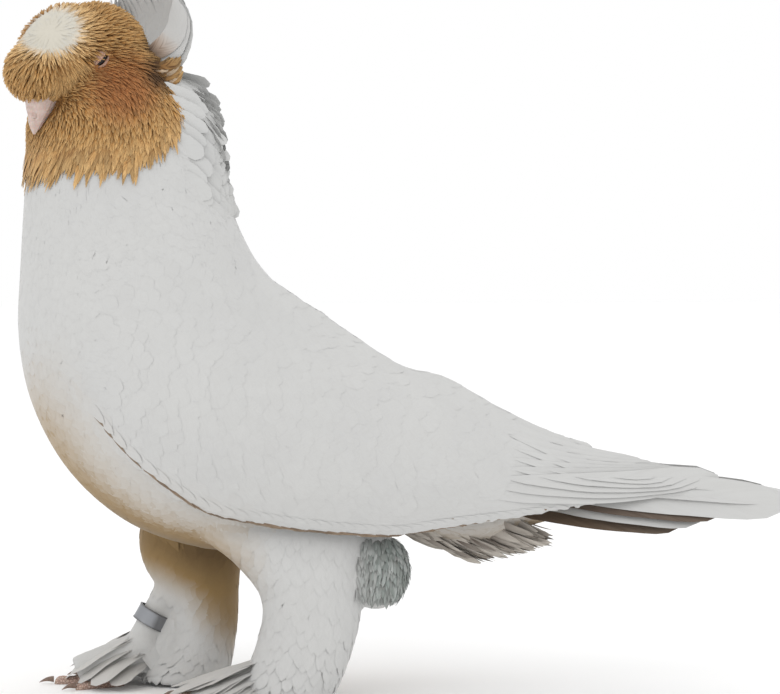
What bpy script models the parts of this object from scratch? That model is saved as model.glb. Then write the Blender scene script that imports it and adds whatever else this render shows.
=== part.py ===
"""A life-size, still model of a Botosani tumbler pigeon that stands with its head turned and bowed.

Lengths here are in millimetres and become metres where a mesh is made. The bird faces -X, its left side
faces -Y and +Z is up. The floor is at z = 0, and the last step centres the whole over the origin.
"""

import math
import random
from collections import namedtuple

import bmesh
import bpy
import numpy as np
from mathutils import Matrix, Vector
from mathutils.bvhtree import BVHTree

MM = 0.001
GAP = 0.34
SEED = 11
FLAT_WITHIN = 1.0

# Body, neck and head are one tube. Each section runs from its back point to its front point.
Section = namedtuple("Section", "name back_x back_z front_x front_z half_width turn")
SECTIONS = (
    Section("tail root", 57, 104, 53, 84, 10, 0),
    Section("rump", 33, 116, 26, 77, 22, 0),
    Section("loin", 9, 128, 2, 72, 32, 0),
    Section("mid back", -15, 148, -24, 66, 40, 0),
    Section("belly", -35, 164, -55, 63, 45, 0),
    Section("shoulders", -50, 178.5, -87, 65, 48, 0),
    Section("keel", -60, 190, -117, 76, 50, 0),
    Section("low breast", -66, 201, -142, 98, 49, 0),
    Section("breast", -71, 213, -158, 127, 45, 0),
    Section("neck root", -76, 225, -164, 157, 40, 1),
    Section("low neck", -79, 238, -163, 188, 36, 4),
    Section("mid neck", -82.5, 250, -161, 216, 34, 11),
    Section("throat", -89, 262, -159, 235, 32.5, 21),
    Section("nape", -100, 274, -157, 248, 29.5, 30),
    Section("back of head", -112, 286, -154, 255, 25.5, 35),
    Section("crown", -124, 294, -152, 257.5, 23, 36),
    Section("brow", -137, 297, -151, 259, 21.5, 36),
    Section("forehead", -149, 293.5, -151, 261, 19, 36),
    Section("tuft base", -156, 285, -151, 263, 15.5, 36),
    Section("face front", -157.5, 277, -152, 265, 11, 36),
    Section("face end", -156, 272, -153, 268, 6, 36),
)
FULLNESS = 2.25
RING_POINTS = 24
TORSO_RINGS = 14
NECK_RINGS = 7
HEAD_RINGS = 11
HEAD_X = -137.0
HEAD_Z = 276.5
HEAD_TURN = 36.0
NECK_STARTS = 9.0
HEAD_STARTS = 12.0
HEAD_LEAN = 0.6
CUT_SHARE = 0.03

# The head's own parts are placed forward, left and up of the point midway between the eyes.
EYE_PLACE = (3.0, 18.8, 0.5)
EYE_RADIUS = 4.3
LID_RADIUS = 5.5
SLIT_HALF = (5.0, 9.0, 1.05)
SLIT_SLANT = 48.0
BEAK_BASE = (16.0, 0.0, -14.5)
BEAK_TIP = (26.5, 0.0, -30.5)
BEAK_HALF_WIDTH = 5.4
BEAK_HALF_HEIGHT = 4.4
NOSTRIL_PLACE = (22.0, 3.6, -17.5)
NOSTRIL_HALF = (2.6, 1.2, 0.7)
NOSTRIL_SLANT = 56.0

# The tuft is a dome of locks that part on the forehead and hang over the beak.
Ring = namedtuple("Ring", "count start end half_width lift")
TUFT_MIDDLE = (15.0, 0.0, 1.2)
TUFT_CORE = (13.0, 0.0, 2.0)
TUFT_CORE_RADIUS = 14.5
TUFT_RADIUS = 21.0
TUFT_ROOT_DEPTH = 8.5
TUFT_POLE = 70.0
# Locks that point further back than this share would lie inside the forehead, so they are left out.
TUFT_PARTS_AT = 0.55
TUFT_RINGS = (
    Ring(12, 58, 116, 6.2, 0.6),
    Ring(10, 30, 86, 6.0, 0.4),
    Ring(7, 6, 54, 5.4, 0.0),
)

# The crest is a shell of upright feathers from ear to ear, with the heights of their roots and tips.
CrestRow = namedtuple("CrestRow", "count half_angle root_radius tip_radius root_up tip_up half_width")
CREST_ROWS = (
    CrestRow(10, 66, 17, 34.5, -7, 31, 6.4),
    CrestRow(7, 56, 12, 29, 3, 32.5, 6.2),
)
CREST_MIDDLE = (-11.0, 0.0, 0.0)
CREST_STEP = 0.9
WHORL_LOCKS = 5
WHORL_ROOT = (-19.0, 19.0, -9.0)
WHORL_TIP = (-35.0, 29.0, -2.0)

# The mane down the hind neck: place along the body tube, locks, reach, how far they stand off.
ManeRow = namedtuple("ManeRow", "at locks spread length lean curl")
NECK_MANE = (
    ManeRow(12.2, 7, 60, 23, 62, 13),
    ManeRow(11.75, 6, 56, 21, 50, 8),
    ManeRow(11.2, 7, 62, 19, 40, 3),
    ManeRow(10.65, 6, 52, 18, 33, 1),
    ManeRow(10.1, 5, 44, 17, 28, 0),
)

WingStation = namedtuple("WingStation", "x top_y top_z side_y side_z low_y low_z thick")
WING = (
    WingStation(-136, 36, 156, 44, 146, 40, 134, 3),
    WingStation(-114, 32, 180, 68, 150, 46, 106, 8),
    WingStation(-86, 24, 190, 87, 140, 45, 85, 12),
    WingStation(-60, 11, 185, 88, 134, 44, 78, 12),
    WingStation(-33, 3, 169, 83, 126, 43, 74, 12),
    WingStation(-8, 0.6, 151, 72, 118, 40, 72, 11),
    WingStation(6, 0.6, 143.5, 65, 115, 38, 73, 10),
    WingStation(22, 0.6, 139.5, 57, 112, 35, 75, 8),
    WingStation(46, 0.6, 126, 42, 103, 29, 78, 6),
    WingStation(72, 0.6, 114, 30, 97, 22, 81, 4.5),
    WingStation(98, 0.6, 107, 21, 94, 15, 84, 3),
    WingStation(124, 0.8, 102.5, 13, 94, 9, 89, 2.2),
    WingStation(143, 2.5, 95.5, 6, 95, 6, 93, 1.4),
)
WING_ROWS = np.array(WING, float)
CORE_INSET = 1.7
CORE_ENDS_AT = 9.6

# Wing vanes run over the wing from one (x, down) place to another, down counting from its upper edge.
Vane = namedtuple("Vane", "x0 down0 x1 down1 half_width")
PRIMARIES = tuple(
    Vane(36 - 2 * k, 0.14 + 0.15 * k, 114 + 7.2 * k, 0.26 + 0.08 * k, 5.2) for k in range(5)
)
SECONDARIES = tuple(
    Vane(-52 + 16 * k, 0.80 - 0.012 * k, -16 + 19 * k, 0.93 - 0.02 * k, 7.2) for k in range(5)
)
COVERTS = (
    Vane(24, 0.12, 57, 0.10, 8.2),
    Vane(24, 0.27, 59, 0.28, 8.2),
    Vane(20, 0.42, 57, 0.47, 8.2),
    Vane(12, 0.55, 51, 0.62, 8.0),
    Vane(-4, 0.66, 38, 0.74, 8.0),
    Vane(-27, 0.70, 18, 0.80, 8.0),
    Vane(-52, 0.72, -6, 0.82, 8.0),
    Vane(-76, 0.72, -32, 0.84, 8.0),
)

# Tail feathers from the middle pair outwards: where each ends, and how it rolls.
Rectrix = namedtuple("Rectrix", "root_y root_z tip_x tip_y tip_z roll half_width")
TAIL = (
    Rectrix(2.0, 99.0, 171, 4.0, 87.4, 5, 7.4),
    Rectrix(4.5, 97.0, 170, 11.2, 83.6, 21, 7.4),
    Rectrix(6.5, 94.8, 167, 17.2, 78.4, 31, 7.4),
    Rectrix(6.5, 92.4, 141, 15.8, 74.4, 33, 7.0),
    Rectrix(6.0, 90.0, 131, 13.2, 71.4, 33, 7.0),
    Rectrix(5.0, 87.6, 122, 10.5, 67.8, 33, 7.0),
)
TAIL_ROOT_X = 50.0
# The block at the tail's root: x, ridge height, half width, drop to the edges and thickness.
TAIL_BLOCK = ((42, 106, 11, 8, 17), (60, 105.5, 11, 8, 18), (78, 103.5, 10, 7, 14), (98, 97.5, 8, 4, 8))
# The wedge under the tail's root: x, top, underside and half width.
UNDER_CORE = ((-6, 84, 75, 12), (10, 88, 68, 13), (28, 92, 61, 13), (42, 94, 61, 12), (54, 94, 70, 9))
# Its rows of feathers: root x and z, tip x and z, bend, count and half spread.
UNDER_ROWS = ((-2, 75, 26, 61, 1.5, 3, 7), (10, 70, 42, 55.5, 1.5, 4, 8), (28, 66, 59, 60, 2.5, 4, 8))

LEG_SPREAD = 26.0
Column = namedtuple("Column", "x z half_x half_y")
THIGH_LEFT = (
    Column(-54, 86, 26, 7),
    Column(-51, 74, 36, 13),
    Column(-44, 61, 29, 17),
    Column(-39, 48, 23.5, 17),
    Column(-37.5, 37, 23, 16),
)
MUFF_LEFT = (
    Column(-37.5, 36.6, 23, 16),
    Column(-40, 28, 23.5, 16.5),
    Column(-44, 16, 23.5, 16.5),
    Column(-50, 6, 24, 16.5),
    Column(-53, 0, 22, 16),
)
THIGH_RIGHT = (
    Column(-84, 92, 26, 16),
    Column(-88, 66, 26, 18),
    Column(-88, 52, 23, 17),
    Column(-86, 42, 20, 15),
)
MUFF_RIGHT = (
    Column(-86, 41.6, 20, 15),
    Column(-83, 30, 16, 14),
    Column(-85, 16, 16, 14),
    Column(-92, 6, 20, 16),
    Column(-95, 0, 20, 15),
)
# The tiers of feathers on a foot: count, height of their roots, length, lift at the tip and half width.
MUFF_TIERS = ((10, 32, 22, 5.0, 6.2), (11, 17, 17, 6.5, 6.0))
FLUFF_MIDDLE = (-8.0, -23.0, 55.0)
FLUFF_LOCKS = 9
SHANK_TOP = (-97.0, 26.0, 47.0)
SHANK_FOOT = (-119.0, 26.0, 8.0)
SHANK_RADIUS = 6.2
BAND_CENTRE = (-106.5, 26.0, 30.2)
BAND_RADIUS = 7.7
BAND_WALL = 0.9
BAND_HEIGHT = 7.0
RING_CLEAR_SHARE = 0.3

# Foot feathers over the toes: heading outwards, reach from the ankle, half width and share of the height.
FAN = ((-42, 29, 6.0, 0.7), (-13, 34, 5.8, 1), (15, 35, 5.8, 1), (46, 34, 6.2, 0.7), (74, 31, 6.2, 0.5))
# Where that fan's roots lie from the ankle, and how high.
FAN_ROOTS = {"left": (-8.0, 17.0), "right": (-1.0, 19.5)}

# Toes as heading outwards from straight ahead in degrees, reach from the ankle, and radius.
Toe = namedtuple("Toe", "heading length radius")
TOES = (Toe(-27, 35, 2.5), Toe(2, 41, 2.7), Toe(31, 35, 2.5), Toe(172, 23, 2.3))
FOOT_LEFT = (-65.0, -27.0)
FOOT_RIGHT = (-109.0, 29.0)
TOE_START = 11.5
CLAW_LENGTH = 6.5
CLAW_RADIUS = 1.25


def clear_scene():
    """Removes whatever the scene holds."""
    for obj in list(bpy.data.objects):
        bpy.data.objects.remove(obj)


def make_material(name, colour, roughness, metallic=0.0):
    """A Principled material."""
    made = bpy.data.materials.new(name)
    made.use_nodes = True
    shader = made.node_tree.nodes["Principled BSDF"]
    shader.inputs["Base Color"].default_value = (*colour, 1.0)
    shader.inputs["Roughness"].default_value = roughness
    shader.inputs["Metallic"].default_value = metallic
    return made


def make_object(name, points, faces, finish=None):
    """A mesh object from points in millimetres, its faces turned outwards."""
    mesh = bpy.data.meshes.new(name)
    mesh.from_pydata([Vector(p) * MM for p in points], [], faces)
    body = bmesh.new()
    body.from_mesh(mesh)
    bmesh.ops.recalc_face_normals(body, faces=body.faces)
    bmesh.ops.triangulate(body, faces=body.faces)
    if body.calc_volume(signed=True) < 0:
        bmesh.ops.reverse_faces(body, faces=body.faces)
    body.to_mesh(mesh)
    body.free()
    obj = bpy.data.objects.new(name, mesh)
    bpy.context.scene.collection.objects.link(obj)
    if finish:
        mesh.materials.append(finish)
    return obj


def spline(rows, at):
    """The smooth value of every column of rows at a place counted in rows."""
    last = len(rows) - 1
    start = max(0, min(int(at), last - 1))
    share = at - start
    before, low, high, after = (rows[min(max(start + k, 0), last)] for k in (-1, 0, 1, 2))
    return 0.5 * (
        2 * low
        + (high - before) * share
        + (2 * before - 5 * low + 4 * high - after) * share**2
        + (3 * low - before - 3 * high + after) * share**3
    )


def loft(rings):
    """Points and faces of a tube through rings of equal length, closed by a flat cap at both ends."""
    count = len(rings[0])
    points = [p for ring in rings for p in ring]
    faces = []
    for i in range(len(rings) - 1):
        for k in range(count):
            here, there = i * count + k, i * count + (k + 1) % count
            faces.append((here, there, there + count, here + count))
    faces.append(tuple(reversed(range(count))))
    faces.append(tuple((len(rings) - 1) * count + k for k in range(count)))
    return points, faces


def turned(x, y, degrees):
    """A place turned about the upright line through the head's middle."""
    angle = math.radians(degrees)
    dx = x - HEAD_X
    return HEAD_X + dx * math.cos(angle) - y * math.sin(angle), dx * math.sin(angle) + y * math.cos(angle)


def in_head(forward, left, up):
    """The place in the bird's frame of a point given in the head's frame."""
    x, y = turned(HEAD_X - forward, -left, HEAD_TURN)
    return Vector((x, y, HEAD_Z + up))


def power(value, exponent):
    """A signed power, which squares off an ellipse."""
    return math.copysign(abs(value) ** exponent, value)


BODY_ROWS = np.array([section[1:] for section in SECTIONS], float)


def body_point(at, angle):
    """A point of the body tube: at counts sections, the angle is 0 at the back and half a turn in front."""
    back_x, back_z, front_x, front_z, half_width, turn = spline(BODY_ROWS, at)
    along = power(math.cos(angle), 2 / FULLNESS)
    across = power(math.sin(angle), 2 / FULLNESS)
    x = (back_x + front_x) / 2 + along * (back_x - front_x) / 2
    z = (back_z + front_z) / 2 + along * (back_z - front_z) / 2
    x, y = turned(x, half_width * across, turn)
    return Vector((x, y, z))


def body_part(name, start, end, steps, finish, start_lean=0.0, end_lean=0.0):
    """The body tube from one place to another, as a closed solid whose ends lean up at the back."""
    rings = []
    for i in range(steps + 1):
        share = i / steps
        lean = start_lean * (1 - share) + end_lean * share
        turns = [math.tau * k / RING_POINTS for k in range(RING_POINTS)]
        at = start + (end - start) * share
        rings.append([body_point(at + lean * math.cos(t), t) for t in turns])
    return make_object(name, *loft(rings), finish)


def column(name, stations, y, finish, points=16):
    """A standing form with a flat top and foot, through ellipses at the stations."""
    rings = []
    for x, z, half_x, half_y in stations:
        turns = [math.tau * k / points for k in range(points)]
        rings.append([(x + half_x * math.cos(t), y + half_y * math.sin(t), z) for t in turns])
    return make_object(name, *loft(rings), finish)


def ball(name, centre, radii, tilt=0.0, turn=0.0, finish=None, segments=12, rings=8):
    """An ellipsoid, tilted about its own side axis and then turned about the upright."""
    body = bmesh.new()
    bmesh.ops.create_uvsphere(body, u_segments=segments, v_segments=rings, radius=1.0)
    place = (
        Matrix.Translation(Vector(centre) * MM)
        @ Matrix.Rotation(math.radians(turn), 4, "Z")
        @ Matrix.Rotation(math.radians(tilt), 4, "Y")
        @ Matrix.Diagonal((*(r * MM for r in radii), 1.0))
    )
    bmesh.ops.transform(body, matrix=place, verts=body.verts)
    bmesh.ops.triangulate(body, faces=body.faces)
    mesh = bpy.data.meshes.new(name)
    body.to_mesh(mesh)
    body.free()
    obj = bpy.data.objects.new(name, mesh)
    bpy.context.scene.collection.objects.link(obj)
    if finish:
        mesh.materials.append(finish)
    return obj


def largest_surface(obj):
    """Keeps only the closed surface of the object that takes the most room, and merges its flat parts."""
    body = bmesh.new()
    body.from_mesh(obj.data)
    bmesh.ops.remove_doubles(body, verts=body.verts, dist=1e-7)
    left = set(body.verts)
    groups = []
    while left:
        group, edge = set(), [left.pop()]
        while edge:
            vert = edge.pop()
            group.add(vert)
            for link in vert.link_edges:
                other = link.other_vert(vert)
                if other in left:
                    left.discard(other)
                    edge.append(other)
        groups.append(group)

    def extent(group):
        places = np.array([v.co for v in group])
        return float(np.prod(places.max(0) - places.min(0) + 1e-6))

    keep = max(groups, key=extent)
    bmesh.ops.delete(body, geom=[v for v in body.verts if v not in keep], context="VERTS")
    bmesh.ops.dissolve_limit(body, angle_limit=math.radians(FLAT_WITHIN), verts=body.verts, edges=body.edges)
    bmesh.ops.triangulate(body, faces=body.faces)
    body.to_mesh(obj.data)
    body.free()


def combine(obj, others, operation):
    """Applies one Boolean of the object with closed meshes, and removes those.

    All the meshes are closed and many cross at thin edges, which is what the manifold solver is for.
    """
    group = bpy.data.collections.new(obj.name + "_pieces")
    bpy.context.scene.collection.children.link(group)
    for other in others:
        for holder in list(other.users_collection):
            holder.objects.unlink(other)
        group.objects.link(other)
    change = obj.modifiers.new(operation.lower(), "BOOLEAN")
    change.operation = operation
    change.operand_type = "COLLECTION"
    change.collection = group
    change.solver = "MANIFOLD"
    graph = bpy.context.evaluated_depsgraph_get()
    mesh = bpy.data.meshes.new_from_object(obj.evaluated_get(graph))
    obj.modifiers.clear()
    obj.data = mesh
    for other in list(group.objects):
        bpy.data.objects.remove(other)
    bpy.data.collections.remove(group)
    largest_surface(obj)


def clearance(obj, gap=GAP):
    """A copy of the object, larger by the gap all round, to cut its neighbours with."""
    copy = bpy.data.objects.new(obj.name + "_room", obj.data.copy())
    bpy.context.scene.collection.objects.link(copy)
    normals = [v.normal.copy() for v in copy.data.vertices]
    for vert, normal in zip(copy.data.vertices, normals):
        vert.co += normal * gap * MM
    return copy


# Shares of a blade's length with its width there: a flight feather, a broad plume and a tapered lock.
FEATHER = ((0.0, 0.4), (0.4, 1.0), (0.87, 0.85), (1.0, 0.35))
PLUME = ((0.0, 0.4), (0.4, 0.95), (0.78, 0.9), (1.0, 0.25))
LOCK = ((0.0, 0.6), (0.35, 1.0), (0.7, 0.75), (1.0, 0.08))


def blade(path, shape, half_width, half_thick, boxy=False, tilt=0.0):
    """A thin vane along a path that gives a point and an outward direction for each share of its length.

    A boxy vane has a flat edge all round, and another one comes to an edge on both sides of a ridge.
    The tilt raises one edge of the vane over its middle, as a feather's does over the next one.
    """
    shares = [share for share, _ in shape]
    places = [path(share) for share in shares]
    rings = []
    for i, (share, wide) in enumerate(shape):
        point, out = places[i]
        ahead = places[min(i + 1, len(places) - 1)][0] - places[max(i - 1, 0)][0]
        across = out.cross(ahead).normalized()
        up = ahead.cross(across).normalized()
        half = across * half_width * wide + up * tilt * wide
        rise = up * half_thick * (1 if share < 1 else 0.4)
        if boxy:
            rings.append((point + half + rise, point - half + rise, point - half - rise, point + half - rise))
        else:
            rings.append((point + half, point + 2 * rise, point - half))
    count = len(rings[0])
    faces = []
    for i in range(len(rings) - 1):
        for k in range(count):
            a, b = count * i + k, count * i + (k + 1) % count
            c, d = b + count, a + count
            faces += [(a, b, c), (a, c, d)] if k < 2 else [(a, b, d), (b, c, d)]
    faces.append(tuple(reversed(range(count))))
    faces.append(tuple(count * (len(rings) - 1) + k for k in range(count)))
    return make_object("blade", [p for ring in rings for p in ring], faces)


def surface_of(obj):
    """The object's surface in millimetres, to grow blades on."""
    points = [v.co / MM for v in obj.data.vertices]
    return BVHTree.FromPolygons(points, [tuple(face.vertices) for face in obj.data.polygons])


def along_surface(surface, start, way, length, sink, lift, steps=12):
    """A path that leaves a surface at its root, follows it and stands off it at the tip."""
    places = []
    point = Vector(start)
    way = Vector(way).normalized()
    for i in range(steps + 1):
        near, out, _, _ = surface.find_nearest(point)
        height = -sink + (sink + lift) * (i / steps) ** 0.8
        places.append((near + out * height, out))
        way = (way - out * way.dot(out)).normalized()
        point = near + way * length / steps

    def path(share):
        return places[round(share * steps)]

    return path


def bent(start, middle, end, out):
    """A path along a smooth bend through three guide points, facing one way."""
    start, middle, end = Vector(start), Vector(middle), Vector(end)

    def path(share):
        rest = 1 - share
        return start * rest**2 + middle * 2 * share * rest + end * share**2, Vector(out)

    return path


def tuft_blades(draw):
    """The locks of the forehead tuft, in rings that hang from its pole over the beak."""
    middle = Vector(TUFT_MIDDLE)
    pole = Vector((math.cos(math.radians(TUFT_POLE)), 0, math.sin(math.radians(TUFT_POLE))))
    side = Vector((0, 1, 0))
    back = pole.cross(side)
    blades = []
    for ring in TUFT_RINGS:
        for k in range(ring.count):
            turn = math.tau * (k + 0.5 * (ring.count % 2) + draw.uniform(-0.15, 0.15)) / ring.count
            if math.sin(turn) > TUFT_PARTS_AT:
                continue
            start, end = math.radians(ring.start), math.radians(ring.end + draw.uniform(-4, 4))
            heading = side * math.cos(turn) + back * math.sin(turn)

            def path(share, start=start, end=end, heading=heading, lift=ring.lift):
                polar = start * (1 - share) + end * share
                way = pole * math.cos(polar) + heading * math.sin(polar)
                spot = middle + way * (TUFT_RADIUS - TUFT_ROOT_DEPTH * (1 - share) ** 1.6 + lift * share)
                return in_head(*spot), in_head(*(spot + way)) - in_head(*spot)

            blades.append(blade(path, LOCK, ring.half_width, 0.55))
    return blades


def crest_blades(draw):
    """The shell of upright feathers behind the crown, each by turns before and behind its neighbour."""
    blades = []
    for row in CREST_ROWS:
        for k in range(row.count):
            angle = math.radians(row.half_angle * (2 * k / (row.count - 1) - 1) + draw.uniform(-2, 2))
            height = row.tip_up - 5 * abs(math.sin(angle)) ** 4 + draw.uniform(-1.5, 1.5)
            back = Vector((-math.cos(angle), math.sin(angle), 0))
            centre = Vector(CREST_MIDDLE) + back * CREST_STEP * (-1) ** k
            lift = Vector((0, 0, 1))
            root = centre + back * row.root_radius + lift * row.root_up
            knee = centre + back * (row.tip_radius + 3) + lift * (row.root_up * 0.6 + height * 0.25)
            tip = centre + back * (row.tip_radius - 1) + lift * height
            path = bent(in_head(*root), in_head(*knee), in_head(*tip), in_head(*back) - in_head(0, 0, 0))
            blades.append(blade(path, PLUME, row.half_width, 0.45))
    return blades


def whorl_blades():
    """The rosette of short locks that sweeps back below each ear."""
    blades = []
    for sign in (1, -1):
        for k in range(WHORL_LOCKS):
            share = k / (WHORL_LOCKS - 1)
            flip = Vector((1, sign, 1))
            root = (Vector(WHORL_ROOT) + Vector((1.5, 0.5, 7)) * (share - 0.5)) * flip
            tip = (Vector(WHORL_TIP) + Vector((1, 1.5, 9)) * (share - 0.5)) * flip
            knee = (root + tip) / 2 + Vector((-1, 6 * sign, -2))
            out = in_head(0, sign, 0.3) - in_head(0, 0, 0)
            blades.append(blade(bent(in_head(*root), in_head(*knee), in_head(*tip), out), LOCK, 2.6, 0.5))
    return blades


def mane_blades(rows, draw):
    """Locks down the hind neck, which stand off it and curl up less from row to row."""
    blades = []
    for row in rows:
        for k in range(row.locks):
            angle = math.radians(row.spread * (2 * k / (row.locks - 1) - 1) + draw.uniform(-3, 3))
            here = body_point(row.at, angle)
            down = (body_point(row.at - 0.6, angle) - here).normalized()
            side = (body_point(row.at, angle + 0.05) - here).normalized()
            out = down.cross(side).normalized()
            if out.dot(here - body_point(row.at, angle + math.pi)) < 0:
                out = -out
            lean = math.radians(row.lean * (1 - 0.35 * abs(angle)))
            way = out * math.sin(lean) + down * math.cos(lean)
            length = row.length * (1 - 0.25 * abs(angle)) + draw.uniform(-1.5, 1.5)
            start = here - out * 3 - down * 1.5
            knee = here + way * length * 0.5
            end = here + way * length + Vector((0, 0, row.curl * (1 - 0.5 * abs(angle))))
            facing = out * math.cos(lean) + Vector((0, 0, 1)) * math.sin(lean)
            facing += side * draw.uniform(-0.7, 0.7)
            blades.append(blade(bent(start, knee, end, facing), PLUME, 4.8, 0.5))
    return blades


def wing_point(at, down, inset=0.0):
    """The wing's outer face: at counts stations from the wrist, down runs from the upper to the lower edge."""
    x, top_y, top_z, side_y, side_z, low_y, low_z, _ = spline(WING_ROWS, at)
    up, mid, low = (1 - down) ** 2, 2 * down * (1 - down), down**2
    spot = Vector((x, up * top_y + mid * side_y + low * low_y, up * top_z + mid * side_z + low * low_z))
    if inset:
        middle = Vector((x, 0, (top_z + low_z) / 2))
        spot += (middle - spot).normalized() * inset
    return spot


def wing_core(name, side, finish, across=7, along=16):
    """The folded wing's inner form as a shell over the flank, side -1 for the left one."""
    rings = []
    for i in range(along + 1):
        at = CORE_ENDS_AT * i / along
        thick = spline(WING_ROWS, at)[7]
        inset = CORE_INSET * min(1.0, max(0.0, (at - 1.5) / 2.5))
        outer = [wing_point(at, k / across, inset * min(1.0, 5 * k / across)) for k in range(across + 1)]
        inner = []
        for k in range(across, -1, -1):
            depth = inset + 0.8 + thick * (1 - 0.88 * (k / across) ** 2)
            inner.append(wing_point(at, k / across, depth))
        ring = [(p.x, side * max(p.y, GAP / 2), p.z) for p in outer + inner]
        rings.append(ring)
    return make_object(name, *loft(rings), finish)


def wing_blade(vane, side, lift, tilt, layer=0.0):
    """One vane that follows the wing's outer face, its lower edge over its neighbour's upper edge."""
    numbers = range(len(WING))

    def path(share):
        x = vane.x0 + (vane.x1 - vane.x0) * share
        down = vane.down0 + (vane.down1 - vane.down0) * share
        at = float(np.interp(x, WING_ROWS[:, 0], numbers))
        height = lift - layer * share if share > 0 else -CORE_INSET - 1.2
        spot = wing_point(at, down)
        one = wing_point(at, down + 0.03) - wing_point(at, down - 0.03)
        two = wing_point(at + 0.1, down) - wing_point(at - 0.1, down)
        out = one.cross(two).normalized()
        if out.y < 0:
            out = -out
        spot += out * height
        return Vector((spot.x, side * spot.y, spot.z)), Vector((out.x, side * out.y, out.z))

    return blade(path, FEATHER, vane.half_width, 0.28, boxy=True, tilt=tilt * side)


def wing_blades(side):
    """The flight feathers and the lowest coverts of one wing."""
    made = [wing_blade(v, side, -0.1, 0.5, 0.8 * k) for k, v in enumerate(PRIMARIES)]
    made += [wing_blade(v, side, -0.5, 0.5) for v in SECONDARIES]
    made += [wing_blade(v, side, 0.7, 0.7) for v in COVERTS]
    return made


def tail_core(name, finish):
    """The block from which the tail feathers grow, with the upper coverts' ridge over it."""
    rings = []
    for x, ridge, half, drop, thick in TAIL_BLOCK:
        top = [(x, half * s, ridge - drop * abs(s) ** 1.3) for s in (-1, -0.5, 0, 0.5, 1)]
        low = [(px, py * 0.8, pz - thick) for px, py, pz in reversed(top)]
        rings.append(top + low)
    return make_object(name, *loft(rings), finish)


def tail_blades():
    """Six tail feathers a side, and the locks under their roots."""
    blades = []
    for order, feather in enumerate(TAIL):
        for side in (-1, 1):
            roll = math.radians(feather.roll)
            out = Vector((0, side * math.sin(roll), math.cos(roll)))
            root = Vector((TAIL_ROOT_X, side * feather.root_y, feather.root_z - 0.4 * (side > 0)))
            drop = (side > 0) * (1.6 if order == 0 else 0.8)
            tip = Vector((feather.tip_x, side * feather.tip_y, feather.tip_z - drop))
            knee = (root + tip) / 2 + Vector((0, 0, -1.0))
            blades.append(blade(bent(root, knee, tip, out), FEATHER, feather.half_width, 0.3, boxy=True))
    return blades


def under_coverts(name):
    """The core of the wedge of feathers under the tail's root."""
    rings = []
    for x, top, low, half in UNDER_CORE:
        middle, reach = (top + low) / 2, (top - low) / 2
        turns = [math.pi * k / 6 for k in range(12)]
        rings.append([(x, half * math.cos(t), middle + reach * math.sin(t)) for t in turns])
    return make_object(name, *loft(rings))


def under_blades(draw):
    """The locks under the tail's root, in three rows that reach further back from row to row."""
    blades = []
    for x0, z0, x1, z1, bend, count, spread in UNDER_ROWS:
        for k in range(count):
            y = spread * (2 * k / (count - 1) - 1)
            root = (x0, 0.9 * y, z0 + 2)
            tip = (x1 + draw.uniform(-2, 2) - 0.25 * abs(y), 1.35 * y, z1 + 0.3 * abs(y))
            knee = ((x0 + x1) / 2, 1.3 * y, min(z0, z1) + bend + 0.2 * abs(y))
            roll = math.radians(60 * y / spread)
            out = (0, math.sin(roll), -math.cos(roll))
            blades.append(blade(bent(root, knee, tip, out), PLUME, 5.6, 0.6))
    return blades


def fluff_blades(draw):
    """The soft clump that hangs behind the left thigh, as plumes round a small core."""
    middle = Vector(FLUFF_MIDDLE)
    blades = [ball("fluff_core", middle, (9, 10, 15), tilt=-8, segments=10, rings=6)]
    for k in range(FLUFF_LOCKS):
        turn = math.radians(-115 + 230 * k / (FLUFF_LOCKS - 1))
        out = Vector((math.cos(turn), math.sin(turn), 0))
        root = middle + out * 5 + Vector((0, 0, 15))
        knee = middle + Vector((out.x * 17, out.y * 13, 8 - 5 * (k % 2)))
        tip = middle + Vector((out.x * 7 - 2, out.y * 9, -15 - 3 * (k % 2) + draw.uniform(-1.5, 1.5)))
        blades.append(blade(bent(root, knee, tip, out), PLUME, 5.4, 0.9))
    return blades


def muff_blades(core, stations, side, forward, bare, draw):
    """Two tiers of foot feathers: one that hangs down the shank, and one that fans out over the floor.

    The upper tier leaves a bare share of a turn in front, where the ring is.
    """
    surface = surface_of(core)
    rows = np.array(stations, float)
    blades = []
    for tier, (count, z, length, lift, half_width) in enumerate(MUFF_TIERS):
        at = float(np.interp(-z, -rows[:, 1], range(len(rows))))
        x, _, half_x, half_y = spline(rows, at)
        for k in range(count):
            turn = math.tau * (k + 0.5 * tier) / count
            if tier == 0 and abs(turn - math.pi) < bare * math.pi:
                continue
            start = Vector((x + half_x * math.cos(turn), side * LEG_SPREAD + half_y * math.sin(turn), z))
            way = Vector((-forward, 0, -1)) + Vector((math.cos(turn), math.sin(turn), 0)) * 0.2
            path = along_surface(surface, start, way, length + draw.uniform(-2, 2), 2.4, lift)
            blades.append(blade(above_floor(path), PLUME, half_width, 0.6))
    return blades


def above_floor(path, room=0.9):
    """The same path, bent so that a blade along it stays off the floor."""

    def raised(share):
        point, out = path(share)
        return Vector((point.x, point.y, max(point.z, room))), out

    return raised


def fan_blades(foot, side, root_shift, height, draw):
    """Long foot feathers that slope over the toes and beside them, from a height down to the floor."""
    blades = []
    for heading, reach, half_width, share in FAN:
        angle = math.radians(heading + draw.uniform(-3, 3))
        way = Vector((-math.cos(angle), side * math.sin(angle), 0))
        root = Vector((*foot, height * share)) + way * root_shift
        knee = Vector((*foot, height * share * 0.9)) + way * (root_shift + reach) * 0.5
        tip = Vector((*foot, 7.5 if share == 1 else 3.5)) + way * reach
        blades.append(blade(bent(root, knee, tip, (0, 0, 1)), PLUME, half_width, 0.6))
    return blades


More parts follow.
